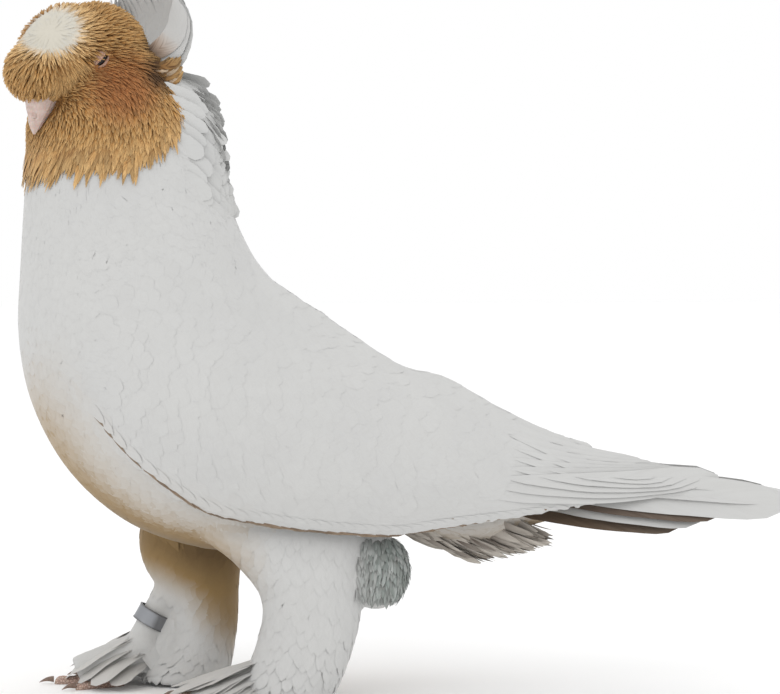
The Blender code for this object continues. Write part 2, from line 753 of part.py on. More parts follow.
def beak_half(name, finish, upper):
    """One half of the beak, from inside the face to its tip."""
    base, tip = Vector(BEAK_BASE), Vector(BEAK_TIP)
    axis = (tip - base).normalized()
    side = Vector((0, 1, 0))
    rise = side.cross(axis)
    if rise.z < 0:
        rise = -rise
    sign = 1 if upper else -1
    reach, width, height = (1.0, 1.0, 1.15) if upper else (0.88, 0.86, 0.8)
    rings = []
    for i in range(8):
        share = -0.4 + 1.4 * i / 7
        slim = max(0.1, 1 - max(share, 0) ** 1.6)
        hook = rise * (-1.8 * max(share, 0) ** 3)
        centre = base + axis * (tip - base).length * reach * share + hook
        ring = []
        for k in range(10):
            angle = math.pi * k / 9
            lift = math.sin(angle) * BEAK_HALF_HEIGHT * slim * height + GAP / 2 + 0.02
            point = centre + side * BEAK_HALF_WIDTH * slim * width * math.cos(angle) + rise * lift * sign
            ring.append(tuple(in_head(*point)))
        rings.append(ring)
    return make_object(name, *loft(rings), finish)


def nostrils():
    """Two slits beside the ridge of the beak."""
    slits = []
    for sign in (1, -1):
        forward, _, up = NOSTRIL_PLACE
        place = in_head(forward, sign * NOSTRIL_PLACE[1], up)
        slits.append(ball("nostril", place, NOSTRIL_HALF, -NOSTRIL_SLANT, HEAD_TURN, segments=8, rings=5))
    return slits


def toe_and_claw(word, foot, side, shape, skin, horn):
    """One toe, flat on the floor, and the claw that its end carries."""
    angle = math.radians(shape.heading)
    way = Vector((-math.cos(angle), side * math.sin(angle), 0))
    across = Vector((-way.y, way.x, 0))
    rise = Vector((0, 0, 1))
    start = Vector((*foot, 0)) + way * TOE_START
    rings = []
    for i in range(6):
        share = i / 5
        size = shape.radius * (1 - 0.3 * share) * (1 + 0.08 * (-1) ** i)
        if i in (0, 5):
            size *= 0.6
        centre = start + way * (shape.length - TOE_START) * share + rise * 0.8 * size
        ring = []
        for k in range(8):
            turn = math.tau * (k + 0.5) / 8
            point = centre + across * size * math.cos(turn) + rise * size * math.sin(turn)
            ring.append((point.x, point.y, max(point.z, 0.0)))
        rings.append(ring)
    toe = make_object("toe_" + word, *loft(rings), skin)

    rings = []
    for i in range(5):
        share = i / 4
        size = CLAW_RADIUS * (1 - 0.86 * share)
        reach = shape.length + 0.45 + CLAW_LENGTH * share
        centre = Vector((*foot, 0)) + way * reach + rise * (2.2 + 0.9 * math.sin(share * 2.6) - 1.9 * share)
        turns = [k * math.pi / 3 for k in range(6)]
        rings.append([centre + across * size * math.cos(t) + rise * size * math.sin(t) for t in turns])
    return toe, make_object("claw_" + word, *loft(rings), horn)


def rod(name, start, end, radius, finish=None, sides=18):
    """A round rod between two points."""
    start, end = Vector(start), Vector(end)
    one = Vector((0, 1, 0))
    two = (end - start).normalized().cross(one)
    turns = [math.tau * k / sides for k in range(sides)]
    across = [(one * math.cos(t) + two * math.sin(t)) * radius for t in turns]
    rings = [[spot + out for out in across] for spot in (start, end)]
    return make_object(name, *loft(rings), finish)


def leg_band(name, finish, sides=24):
    """The flat metal ring round the right shank."""
    axis = (Vector(SHANK_FOOT) - Vector(SHANK_TOP)).normalized()
    one = Vector((0, 1, 0))
    two = axis.cross(one)
    inner = BAND_RADIUS - BAND_WALL
    points, faces = [], []
    for size, level in ((BAND_RADIUS, -0.5), (BAND_RADIUS, 0.5), (inner, 0.5), (inner, -0.5)):
        spot = Vector(BAND_CENTRE) + axis * level * BAND_HEIGHT
        turns = [math.tau * k / sides for k in range(sides)]
        points += [spot + (one * math.cos(t) + two * math.sin(t)) * size for t in turns]
    for loop in range(4):
        for k in range(sides):
            a, b = loop * sides + k, loop * sides + (k + 1) % sides
            c, d = (loop + 1) % 4 * sides + (k + 1) % sides, (loop + 1) % 4 * sides + k
            faces.append((a, b, c, d))
    return make_object(name, points, faces, finish)


def centre_whole():
    """Moves every node so that the middle of the whole stands over the origin."""
    places = np.array([v.co for obj in bpy.data.objects for v in obj.data.vertices])
    low, high = places.min(0), places.max(0)
    shift = Matrix.Translation((-(low[0] + high[0]) / 2, -(low[1] + high[1]) / 2, -low[2]))
    for obj in bpy.data.objects:
        obj.data.transform(shift)


def build_head(finishes, neck, draw):
    """The head with its feathers, lids and eyes, and the beak's two halves."""
    last = len(SECTIONS) - 1.0
    start = HEAD_STARTS + CUT_SHARE
    head = body_part("head", start, last, HEAD_RINGS, finishes["brown"], start_lean=HEAD_LEAN)
    lids, eyes, slits = [], [], []
    for side, word in ((1, "left"), (-1, "right")):
        place = in_head(EYE_PLACE[0], side * EYE_PLACE[1], EYE_PLACE[2])
        lids.append(ball("lid", place, (LID_RADIUS,) * 3, segments=10, rings=7))
        eyes.append(ball("eye_" + word, place, (EYE_RADIUS,) * 3, 0, 0, finishes["dark"], 10, 6))
        slits.append(ball("slit", place, SLIT_HALF, -SLIT_SLANT, HEAD_TURN, segments=10, rings=6))
    core = ball("tuft_core", in_head(*TUFT_CORE), (TUFT_CORE_RADIUS,) * 3, segments=10, rings=7)
    combine(head, [core] + lids + tuft_blades(draw) + crest_blades(draw) + whorl_blades(), "UNION")
    combine(head, [clearance(eye) for eye in eyes] + slits, "DIFFERENCE")
    combine(head, [clearance(neck)], "DIFFERENCE")
    upper = beak_half("beak_upper", finishes["horn"], True)
    lower = beak_half("beak_lower", finishes["horn"], False)
    combine(head, [clearance(upper), clearance(lower)], "DIFFERENCE")
    combine(lower, [clearance(upper)], "DIFFERENCE")
    combine(upper, nostrils(), "DIFFERENCE")
    return head


def build_legs(finishes, torso, draw):
    """The thighs, the feathered feet with their toes and claws, and the ring on the right shank."""
    thighs = []
    for word, stations, side in (("left", THIGH_LEFT, -1), ("right", THIGH_RIGHT, 1)):
        thigh = column("thigh_" + word, stations, side * LEG_SPREAD, finishes["white"])
        if word == "left":
            combine(thigh, fluff_blades(draw), "UNION")
        combine(thigh, [clearance(torso)], "DIFFERENCE")
        thighs.append(thigh)

    leg_band("leg_band", finishes["steel"])
    feet = (("left", MUFF_LEFT, -1, FOOT_LEFT), ("right", MUFF_RIGHT, 1, FOOT_RIGHT))
    for word, stations, side, foot in feet:
        muff = column("muff_" + word, stations, side * LEG_SPREAD, finishes["white"])
        bare = RING_CLEAR_SHARE if word == "right" else 0
        combine(muff, muff_blades(muff, stations, side, 0.25, bare, draw), "UNION")
        fan = fan_blades(foot, side, *FAN_ROOTS[word], draw)
        if word == "right":
            middle = Vector(BAND_CENTRE)
            half = (Vector(SHANK_FOOT) - Vector(SHANK_TOP)).normalized() * (BAND_HEIGHT / 2 + 0.8)
            combine(muff, [rod("band_room", middle - half, middle + half, BAND_RADIUS + 0.8)], "DIFFERENCE")
            fan.append(rod("shank", SHANK_TOP, SHANK_FOOT, SHANK_RADIUS))
        combine(muff, fan, "UNION")
        rooms = [clearance(thigh) for thigh in thighs]
        for i, shape in enumerate(TOES):
            pieces = toe_and_claw(f"{word}_{i + 1}", foot, side, shape, finishes["skin"], finishes["claw"])
            rooms += [clearance(piece) for piece in pieces]
        combine(muff, rooms, "DIFFERENCE")
    return thighs


def main():
    """Builds the bird's nodes."""
    clear_scene()
    draw = random.Random(SEED)
    finishes = {
        "white": make_material("white_feather", (0.80, 0.79, 0.77), 0.75),
        "brown": make_material("brown_feather", (0.40, 0.19, 0.07), 0.8),
        "horn": make_material("beak_horn", (0.72, 0.58, 0.52), 0.45),
        "dark": make_material("eye_dark", (0.02, 0.015, 0.012), 0.12),
        "skin": make_material("toe_skin", (0.55, 0.22, 0.17), 0.6),
        "steel": make_material("band_metal", (0.62, 0.63, 0.65), 0.35, 1.0),
        "claw": make_material("claw_horn", (0.30, 0.20, 0.15), 0.4),
    }
    torso = body_part("torso", 0.0, NECK_STARTS, TORSO_RINGS, finishes["white"])
    start = NECK_STARTS + CUT_SHARE
    neck = body_part("neck", start, HEAD_STARTS, NECK_RINGS, finishes["white"], end_lean=HEAD_LEAN)
    head = build_head(finishes, neck, draw)
    combine(neck, mane_blades(NECK_MANE, draw), "UNION")
    combine(neck, [clearance(torso)], "DIFFERENCE")
    combine(head, [clearance(neck)], "DIFFERENCE")

    tail = tail_core("tail", finishes["white"])
    combine(tail, [under_coverts("under_coverts")] + under_blades(draw) + tail_blades(), "UNION")
    combine(tail, [clearance(torso)], "DIFFERENCE")
    thighs = build_legs(finishes, torso, draw)
    combine(tail, [clearance(thigh) for thigh in thighs], "DIFFERENCE")
    for side, word in ((-1, "left"), (1, "right")):
        wing = wing_core("wing_" + word, side, finishes["white"])
        combine(wing, wing_blades(side), "UNION")
        rooms = [clearance(node) for node in (torso, neck, tail, *thighs)]
        combine(wing, rooms, "DIFFERENCE")
    centre_whole()


main()
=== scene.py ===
"""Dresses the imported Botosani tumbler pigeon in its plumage, horn, skin and metal, under soft studio light.

Sizes are in millimetres of the bird's own drawing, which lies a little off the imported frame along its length.
The workbench adds that shift and turns millimetres into metres where a mesh is made.
"""

import logging
import math
from dataclasses import dataclass, field
from enum import Enum

import bmesh
import bpy
import numpy as np
from mathutils import Matrix, Vector
from mathutils.bvhtree import BVHTree
from mathutils.kdtree import KDTree

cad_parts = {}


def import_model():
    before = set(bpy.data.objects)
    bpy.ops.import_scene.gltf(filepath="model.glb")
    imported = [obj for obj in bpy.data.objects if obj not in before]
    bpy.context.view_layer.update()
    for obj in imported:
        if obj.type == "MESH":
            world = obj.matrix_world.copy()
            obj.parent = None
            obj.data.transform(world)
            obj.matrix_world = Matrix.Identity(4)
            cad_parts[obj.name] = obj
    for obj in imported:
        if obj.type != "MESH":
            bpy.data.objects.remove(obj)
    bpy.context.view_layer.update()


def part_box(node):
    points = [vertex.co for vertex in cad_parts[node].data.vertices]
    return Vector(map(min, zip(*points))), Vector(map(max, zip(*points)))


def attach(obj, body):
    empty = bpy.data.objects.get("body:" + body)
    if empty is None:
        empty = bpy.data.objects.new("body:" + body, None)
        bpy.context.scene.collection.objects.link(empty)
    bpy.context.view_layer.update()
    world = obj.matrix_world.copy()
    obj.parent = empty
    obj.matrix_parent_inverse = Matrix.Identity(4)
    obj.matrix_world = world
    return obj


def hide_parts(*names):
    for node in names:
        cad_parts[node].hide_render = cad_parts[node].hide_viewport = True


MM = 0.001
BODY = "root"
BAKE_MAP = "OFBake"
VANE_MAP = "Vane"
TUFT_PATCH = 0.003
# The warm and the dark marks are partly painted shade: a tan tint and a dark brown laid where the plumage lies
# in shade.
MARKS = ("brown", "pale", "warm", "cool", "dusk", "red", "gold")
# Barbs leave a feather's shaft at a slant of about half a vane's width in its length of some 9 mm.
BARB_SLANT = 0.55
USUAL_VANE = 9.0
# Thin feathers have sharp rims; softer edges than this shade as one surface.
RIM_ANGLE = math.radians(50)

UP = np.array((0.0, 0.0, 1.0))
# Settings of the nodes that the materials and the coats use most.
MIXED = {"data_type": "RGBA"}
TIMES = {"operation": "MULTIPLY"}
TIMES_PLUS = {"operation": "MULTIPLY_ADD"}

log = logging.getLogger("pigeon")


class Side(Enum):
    """A side of the bird, with the sign of its place across the frame."""

    LEFT = -1
    RIGHT = 1

    @property
    def word(self) -> str:
        """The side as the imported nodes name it."""
        return self.name.lower()

    @property
    def flip(self) -> np.ndarray:
        """What turns a place on the right side into the same place on this one."""
        return np.array((1, self.value, 1))


class Region(Enum):
    """A part of the skin with its own lie of feathers."""

    BODY = 0
    WING = 1
    LEG = 2
    RUMP = 3
    FLUFF = 4


class Cut(Enum):
    """The cross-section of a vane as places across and up, both in halves of its width and thickness."""

    HAIR = ((-1.0, 0.0), (0.0, 1.0), (1.0, 0.0))
    OVAL = ((-1.0, 0.0), (0.0, 1.0), (1.0, 0.0), (0.0, -1.0))
    VANE = ((-1.0, 0.0), (-0.55, 0.9), (0.0, 1.15), (0.55, 0.9), (1.0, 0.0), (0.0, -1.0))
    FLIGHT = (
        (-1.0, 0.0),
        (-0.5, 0.9),
        (-0.09, 1.0),
        (0.0, 1.25),
        (0.09, 1.0),
        (0.5, 0.9),
        (1.0, 0.0),
        (0.0, -1.0),
    )


class Outline(Enum):
    """A vane's width along its length, as shares of the length and of the half width."""

    FEATHER = ((0.0, 0.4), (0.2, 0.85), (0.5, 1.0), (0.85, 0.9), (0.95, 0.68), (1.0, 0.25))
    PLUME = ((0.0, 0.4), (0.25, 0.85), (0.5, 1.0), (0.78, 0.85), (0.92, 0.5), (1.0, 0.1))
    CONTOUR = ((0.0, 0.35), (0.3, 0.9), (0.6, 1.0), (0.85, 0.78), (1.0, 0.15))
    LOCK = ((0.0, 0.6), (0.3, 1.0), (0.65, 0.75), (0.9, 0.3), (1.0, 0.06))

    def widths(self, shares: np.ndarray) -> np.ndarray:
        """The half width at each share of the length.

        Args:
            shares: Places along the vane from 0 to 1.

        Returns:
            The half widths as shares of the full one.
        """
        stops = np.array(self.value)
        return np.interp(shares, stops[:, 0], stops[:, 1])


def linear(hex_colour: str) -> tuple[float, float, float, float]:
    """Turns an sRGB hex colour to linear light.

    Args:
        hex_colour: Six hex digits after a hash.

    Returns:
        Red, green, blue and full alpha in linear light.
    """
    parts = [int(hex_colour[k : k + 2], 16) / 255 for k in (1, 3, 5)]
    light = [p / 12.92 if p <= 0.04045 else ((p + 0.055) / 1.055) ** 2.4 for p in parts]
    return light[0], light[1], light[2], 1.0


def add_node(
    tree: bpy.types.NodeTree, kind: str, settings: dict | None = None, inputs: dict | None = None
) -> bpy.types.Node:
    """Adds a node with its settings, and links or sets its inputs.

    Args:
        tree: The tree that takes the node.
        kind: The node's type name.
        settings: Properties of the node.
        inputs: For each input's name or number, an output socket to link or a value to set.

    Returns:
        The new node.
    """
    node = tree.nodes.new(kind)
    for name, value in (settings or {}).items():
        setattr(node, name, value)
    for key, value in (inputs or {}).items():
        if isinstance(value, bpy.types.NodeSocket):
            tree.links.new(value, node.inputs[key])
        else:
            node.inputs[key].default_value = value
    return node


def spline(rows: np.ndarray, at: np.ndarray) -> np.ndarray:
    """Reads every column of rows along a smooth curve.

    Args:
        rows: One row of values for each whole number.
        at: Places counted in rows.

    Returns:
        The values at those places, one row each.
    """
    at = np.asarray(at, float)
    last = len(rows) - 1
    start = np.clip(np.floor(at).astype(int), 0, last - 1)
    share = (at - start)[..., None]
    before, low, high, after = (rows[np.clip(start + k, 0, last)] for k in (-1, 0, 1, 2))
    return 0.5 * (
        2 * low
        + (high - before) * share
        + (2 * before - 5 * low + 4 * high - after) * share**2
        + (3 * low - before - 3 * high + after) * share**3
    )


def unit(ways: np.ndarray) -> np.ndarray:
    """Vectors of the same direction and length 1."""
    return ways / np.maximum(np.linalg.norm(ways, axis=-1, keepdims=True), 1e-9)


def rise(low: float, high: float, value: np.ndarray) -> np.ndarray:
    """A smooth step from 0 at low to 1 at high, which may also be the lesser of the two."""
    share = np.clip((np.asarray(value, float) - low) / (high - low), 0, 1)
    return share * share * (3 - 2 * share)


def circle(count: int) -> np.ndarray:
    """Angles evenly round a full turn."""
    return np.linspace(0, math.tau, count, endpoint=False)


def stations(rows: tuple[tuple[float, ...], ...], count: int, first: float = 0.0) -> np.ndarray:
    """Even places along a smooth curve through rows, one column of places for each of their values."""
    return spline(np.array(rows, float), np.linspace(first, len(rows) - 1, count)).T[..., None]


def one_sided(places: np.ndarray) -> np.ndarray:
    """Places in the head, those on its right mirrored to its left."""
    return np.stack((places[:, 0], np.abs(places[:, 1]), places[:, 2]), -1)


def in_scene(name: str, data: bpy.types.ID) -> bpy.types.Object:
    """A new object of the scene."""
    obj = bpy.data.objects.new(name, data)
    bpy.context.scene.collection.objects.link(obj)
    return obj


def read(items: bpy.types.bpy_prop_collection, word: str, width: int, kind: type = float) -> np.ndarray:
    """One property of every item, a row of the given width for each."""
    values = np.zeros(len(items) * width, kind)
    items.foreach_get(word, values)
    return values.reshape(-1, width)


def store(data: bpy.types.Mesh, word: str, values: np.ndarray) -> None:
    """Keeps a number for each point of a mesh under a name."""
    flat = np.asarray(values, np.float32).ravel()
    data.attributes.new(word, "FLOAT", "POINT").data.foreach_set("value", flat)


def planted(points: np.ndarray) -> KDTree:
    """A search tree over points, which finds each by its number."""
    tree = KDTree(len(points))
    for number, point in enumerate(points):
        tree.insert(point, number)
    tree.balance()
    return tree


@dataclass
class Form:
    """The bird's guiding shape: the tube of body, neck and head, and the folded wing's outer face."""

    fullness: float = 2.25
    head_x: float = -137.0
    head_z: float = 276.5
    head_turn: float = 36.0
    sections: np.ndarray = field(
        default_factory=lambda: np.array(
            (
                (57, 104, 53, 84, 10, 0),
                (33, 116, 26, 77, 22, 0),
                (9, 128, 2, 72, 32, 0),
                (-15, 148, -24, 66, 40, 0),
                (-35, 164, -55, 63, 45, 0),
                (-50, 178.5, -87, 65, 48, 0),
                (-60, 190, -117, 76, 50, 0),
                (-66, 201, -142, 98, 49, 0),
                (-71, 213, -158, 127, 45, 0),
                (-76, 225, -164, 157, 40, 1),
                (-79, 238, -163, 188, 36, 4),
                (-82.5, 250, -161, 216, 34, 11),
                (-89, 262, -159, 235, 32.5, 21),
                (-100, 274, -157, 248, 29.5, 30),
                (-112, 286, -154, 255, 25.5, 35),
                (-124, 294, -152, 257.5, 23, 36),
                (-137, 297, -151, 259, 21.5, 36),
                (-149, 293.5, -151, 261, 19, 36),
                (-156, 285, -151, 263, 15.5, 36),
                (-157.5, 277, -152, 265, 11, 36),
                (-156, 272, -153, 268, 6, 36),
            ),
            float,
        )
    )
    wing: np.ndarray = field(
        default_factory=lambda: np.array(
            (
                (-136, 36, 156, 44, 146, 40, 134, 3),
                (-114, 32, 180, 68, 150, 46, 106, 8),
                (-86, 24, 190, 87, 140, 45, 85, 12),
                (-60, 11, 185, 88, 134, 44, 78, 12),
                (-33, 3, 169, 83, 126, 43, 74, 12),
                (-8, 0.6, 151, 72, 118, 40, 72, 11),
                (6, 0.6, 143.5, 65, 115, 38, 73, 10),
                (22, 0.6, 139.5, 57, 112, 35, 75, 8),
                (46, 0.6, 126, 42, 103, 29, 78, 6),
                (72, 0.6, 114, 30, 97, 22, 81, 4.5),
                (98, 0.6, 107, 21, 94, 15, 84, 3),
                (124, 0.8, 102.5, 13, 94, 9, 89, 2.2),
                (143, 2.5, 95.5, 6, 95, 6, 93, 1.4),
            ),
            float,
        )
    )

    def turned(self, x: np.ndarray, y: np.ndarray, degrees: np.ndarray) -> tuple[np.ndarray, np.ndarray]:
        """Turns places about the upright line through the head's middle.

        Args:
            x: Places along the bird.
            y: Places across it.
            degrees: The turn of each.

        Returns:
            The turned places along and across.
        """
        angle = np.radians(degrees)
        dx = x - self.head_x
        return self.head_x + dx * np.cos(angle) - y * np.sin(angle), dx * np.sin(angle) + y * np.cos(angle)

    def in_head(self, places: np.ndarray) -> np.ndarray:
        """Places in the bird's frame of points given forward, left and up of the head's middle."""
        places = np.asarray(places, float)
        x, y = self.turned(self.head_x - places[..., 0], -places[..., 1], self.head_turn)
        return np.stack((x, y, self.head_z + places[..., 2]), -1)

    def to_head(self, places: np.ndarray) -> np.ndarray:
        """Forward, left and up of the head's middle for points given in the bird's frame."""
        x, y = self.turned(places[..., 0], places[..., 1], -self.head_turn)
        return np.stack((self.head_x - x, -y, places[..., 2] - self.head_z), -1)

    def tube(self, at: np.ndarray, angle: np.ndarray) -> np.ndarray:
        """Points of the body tube.

        Args:
            at: Places along the tube, counted in sections from the tail's root.
            angle: Turns round the tube, 0 at the back and half a turn in front.

        Returns:
            The points.
        """
        back_x, back_z, front_x, front_z, half_width, turn = np.moveaxis(spline(self.sections, at), -1, 0)
        along = np.sign(np.cos(angle)) * np.abs(np.cos(angle)) ** (2 / self.fullness)
        across = np.sign(np.sin(angle)) * np.abs(np.sin(angle)) ** (2 / self.fullness)
        x = (back_x + front_x) / 2 + along * (back_x - front_x) / 2
        z = (back_z + front_z) / 2 + along * (back_z - front_z) / 2
        x, y = self.turned(x, half_width * across, turn)
        return np.stack((x, y, z), -1)

    def wing_at(self, x: np.ndarray) -> np.ndarray:
        """Places along the wing, counted in its stations, for places along the bird."""
        return np.interp(x, self.wing[:, 0], np.arange(len(self.wing)))

    def wing_point(self, at: np.ndarray, down: np.ndarray, inset: np.ndarray | float = 0.0) -> np.ndarray:
        """Points of the right wing's outer face.

        Args:
            at: Places along the wing, counted in stations from the wrist.
            down: Shares of the way from the upper to the lower edge.
            inset: How far the points lie inside the face.

        Returns:
            The points.
        """
        at, down = np.broadcast_arrays(np.asarray(at, float), np.asarray(down, float))
        row = np.moveaxis(spline(self.wing, at), -1, 0)
        x, top_y, top_z, side_y, side_z, low_y, low_z = row[:7]
        up, mid, low = (1 - down) ** 2, 2 * down * (1 - down), down**2
        spot = np.stack(
            (x, up * top_y + mid * side_y + low * low_y, up * top_z + mid * side_z + low * low_z), -1
        )
        middle = np.stack((x, np.zeros_like(x), (top_z + low_z) / 2), -1)
        return spot + unit(middle - spot) * np.asarray(inset, float)[..., None]


@dataclass
class Bench:
    """The workbench: it makes meshes from millimetres and hands finished pieces to the frame."""

    shift: np.ndarray

    def mesh(
        self, name: str, points: np.ndarray, faces: list[np.ndarray], own_place: bool = True
    ) -> bpy.types.Object:
        """Makes an object of closed shells whose faces point outwards.

        Args:
            name: The object's name.
            points: Its corners.
            faces: Groups of faces with equal numbers of corners.
            own_place: Whether the points lie in the bird's drawing and take its shift.

        Returns:
            The new object.
        """
        points = np.asarray(points, float)
        volume = 0.0
        for group in faces:
            corners = points[group]
            for k in range(1, group.shape[1] - 1):
                volume += np.einsum("ij,ij->", corners[:, 0], np.cross(corners[:, k], corners[:, k + 1]))
        if volume < 0:
            faces = [group[:, ::-1] for group in faces]
        places = (points + (self.shift if own_place else 0.0)) * MM
        loops = np.concatenate([group.ravel() for group in faces]).astype(np.int32)
        sizes = np.concatenate([np.full(len(group), group.shape[1]) for group in faces])
        data = bpy.data.meshes.new(name)
        data.vertices.add(len(places))
        data.vertices.foreach_set("co", places.astype(np.float32).ravel())
        data.loops.add(len(loops))
        data.loops.foreach_set("vertex_index", loops)
        data.polygons.add(len(sizes))
        starts = np.concatenate(([0], np.cumsum(sizes)[:-1])).astype(np.int32)
        data.polygons.foreach_set("loop_start", starts)
        data.update(calc_edges=True)
        data.validate()
        data.shade_smooth()
        data.set_sharp_from_angle(angle=RIM_ANGLE)
        return in_scene(name, data)

    def rings(
        self, name: str, rings: np.ndarray, own_place: bool = True, looped: bool = False
    ) -> bpy.types.Object:
        """Makes a tube through rings of points.

        Args:
            name: The object's name.
            rings: Points as rings by points round a ring.
            own_place: Whether they take the drawing's shift.
            looped: Whether the last ring joins the first; otherwise both ends get a cap.

        Returns:
            The new object.
        """
        rings = np.asarray(rings, float)
        count, around = rings.shape[:2]
        here = np.arange(count if looped else count - 1)[:, None] * around + np.arange(around)
        there = (here // around) * around + (here + 1) % around
        faces = [np.stack((here, there, there + around, here + around), -1).reshape(-1, 4) % (count * around)]
        if not looped:
            faces.append(np.arange(around)[::-1][None])
            faces.append(((count - 1) * around + np.arange(around))[None])
        return self.mesh(name, rings.reshape(-1, 3), faces, own_place)

    def applied(self, obj: bpy.types.Object) -> bpy.types.Object:
        """Turns the object's modifiers into a plain mesh.

        Args:
            obj: The object, which keeps its name.

        Returns:
            The same object.
        """
        graph = bpy.context.evaluated_depsgraph_get()
        data = bpy.data.meshes.new_from_object(obj.evaluated_get(graph), depsgraph=graph)
        data.name = obj.name
        obj.modifiers.clear()
        obj.data = data
        return obj

    def joined(self, name: str, parts: list[bpy.types.Object]) -> bpy.types.Object:
        """Joins objects, which are used up, into one mesh.

        Args:
            name: The name of the joined object.
            parts: The objects.

        Returns:
            The joined object.
        """
        with bpy.context.temp_override(
            active_object=parts[0], selected_objects=parts, selected_editable_objects=parts
        ):
            bpy.ops.object.join()
        parts[0].name = name
        parts[0].data.name = name
        return parts[0]

    def done(
        self, obj: bpy.types.Object, finish: bpy.types.Material, slot: str, replaced: tuple[str, ...] = ()
    ) -> bpy.types.Object:
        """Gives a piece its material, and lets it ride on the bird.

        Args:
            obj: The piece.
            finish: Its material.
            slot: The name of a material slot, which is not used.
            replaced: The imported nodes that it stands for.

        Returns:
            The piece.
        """
        obj.data.materials.clear()
        obj.data.materials.append(finish)
        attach(obj, BODY)
        if replaced:
            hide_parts(*replaced)
        log.info("%s: %d faces", obj.name, len(obj.data.polygons))
        return obj


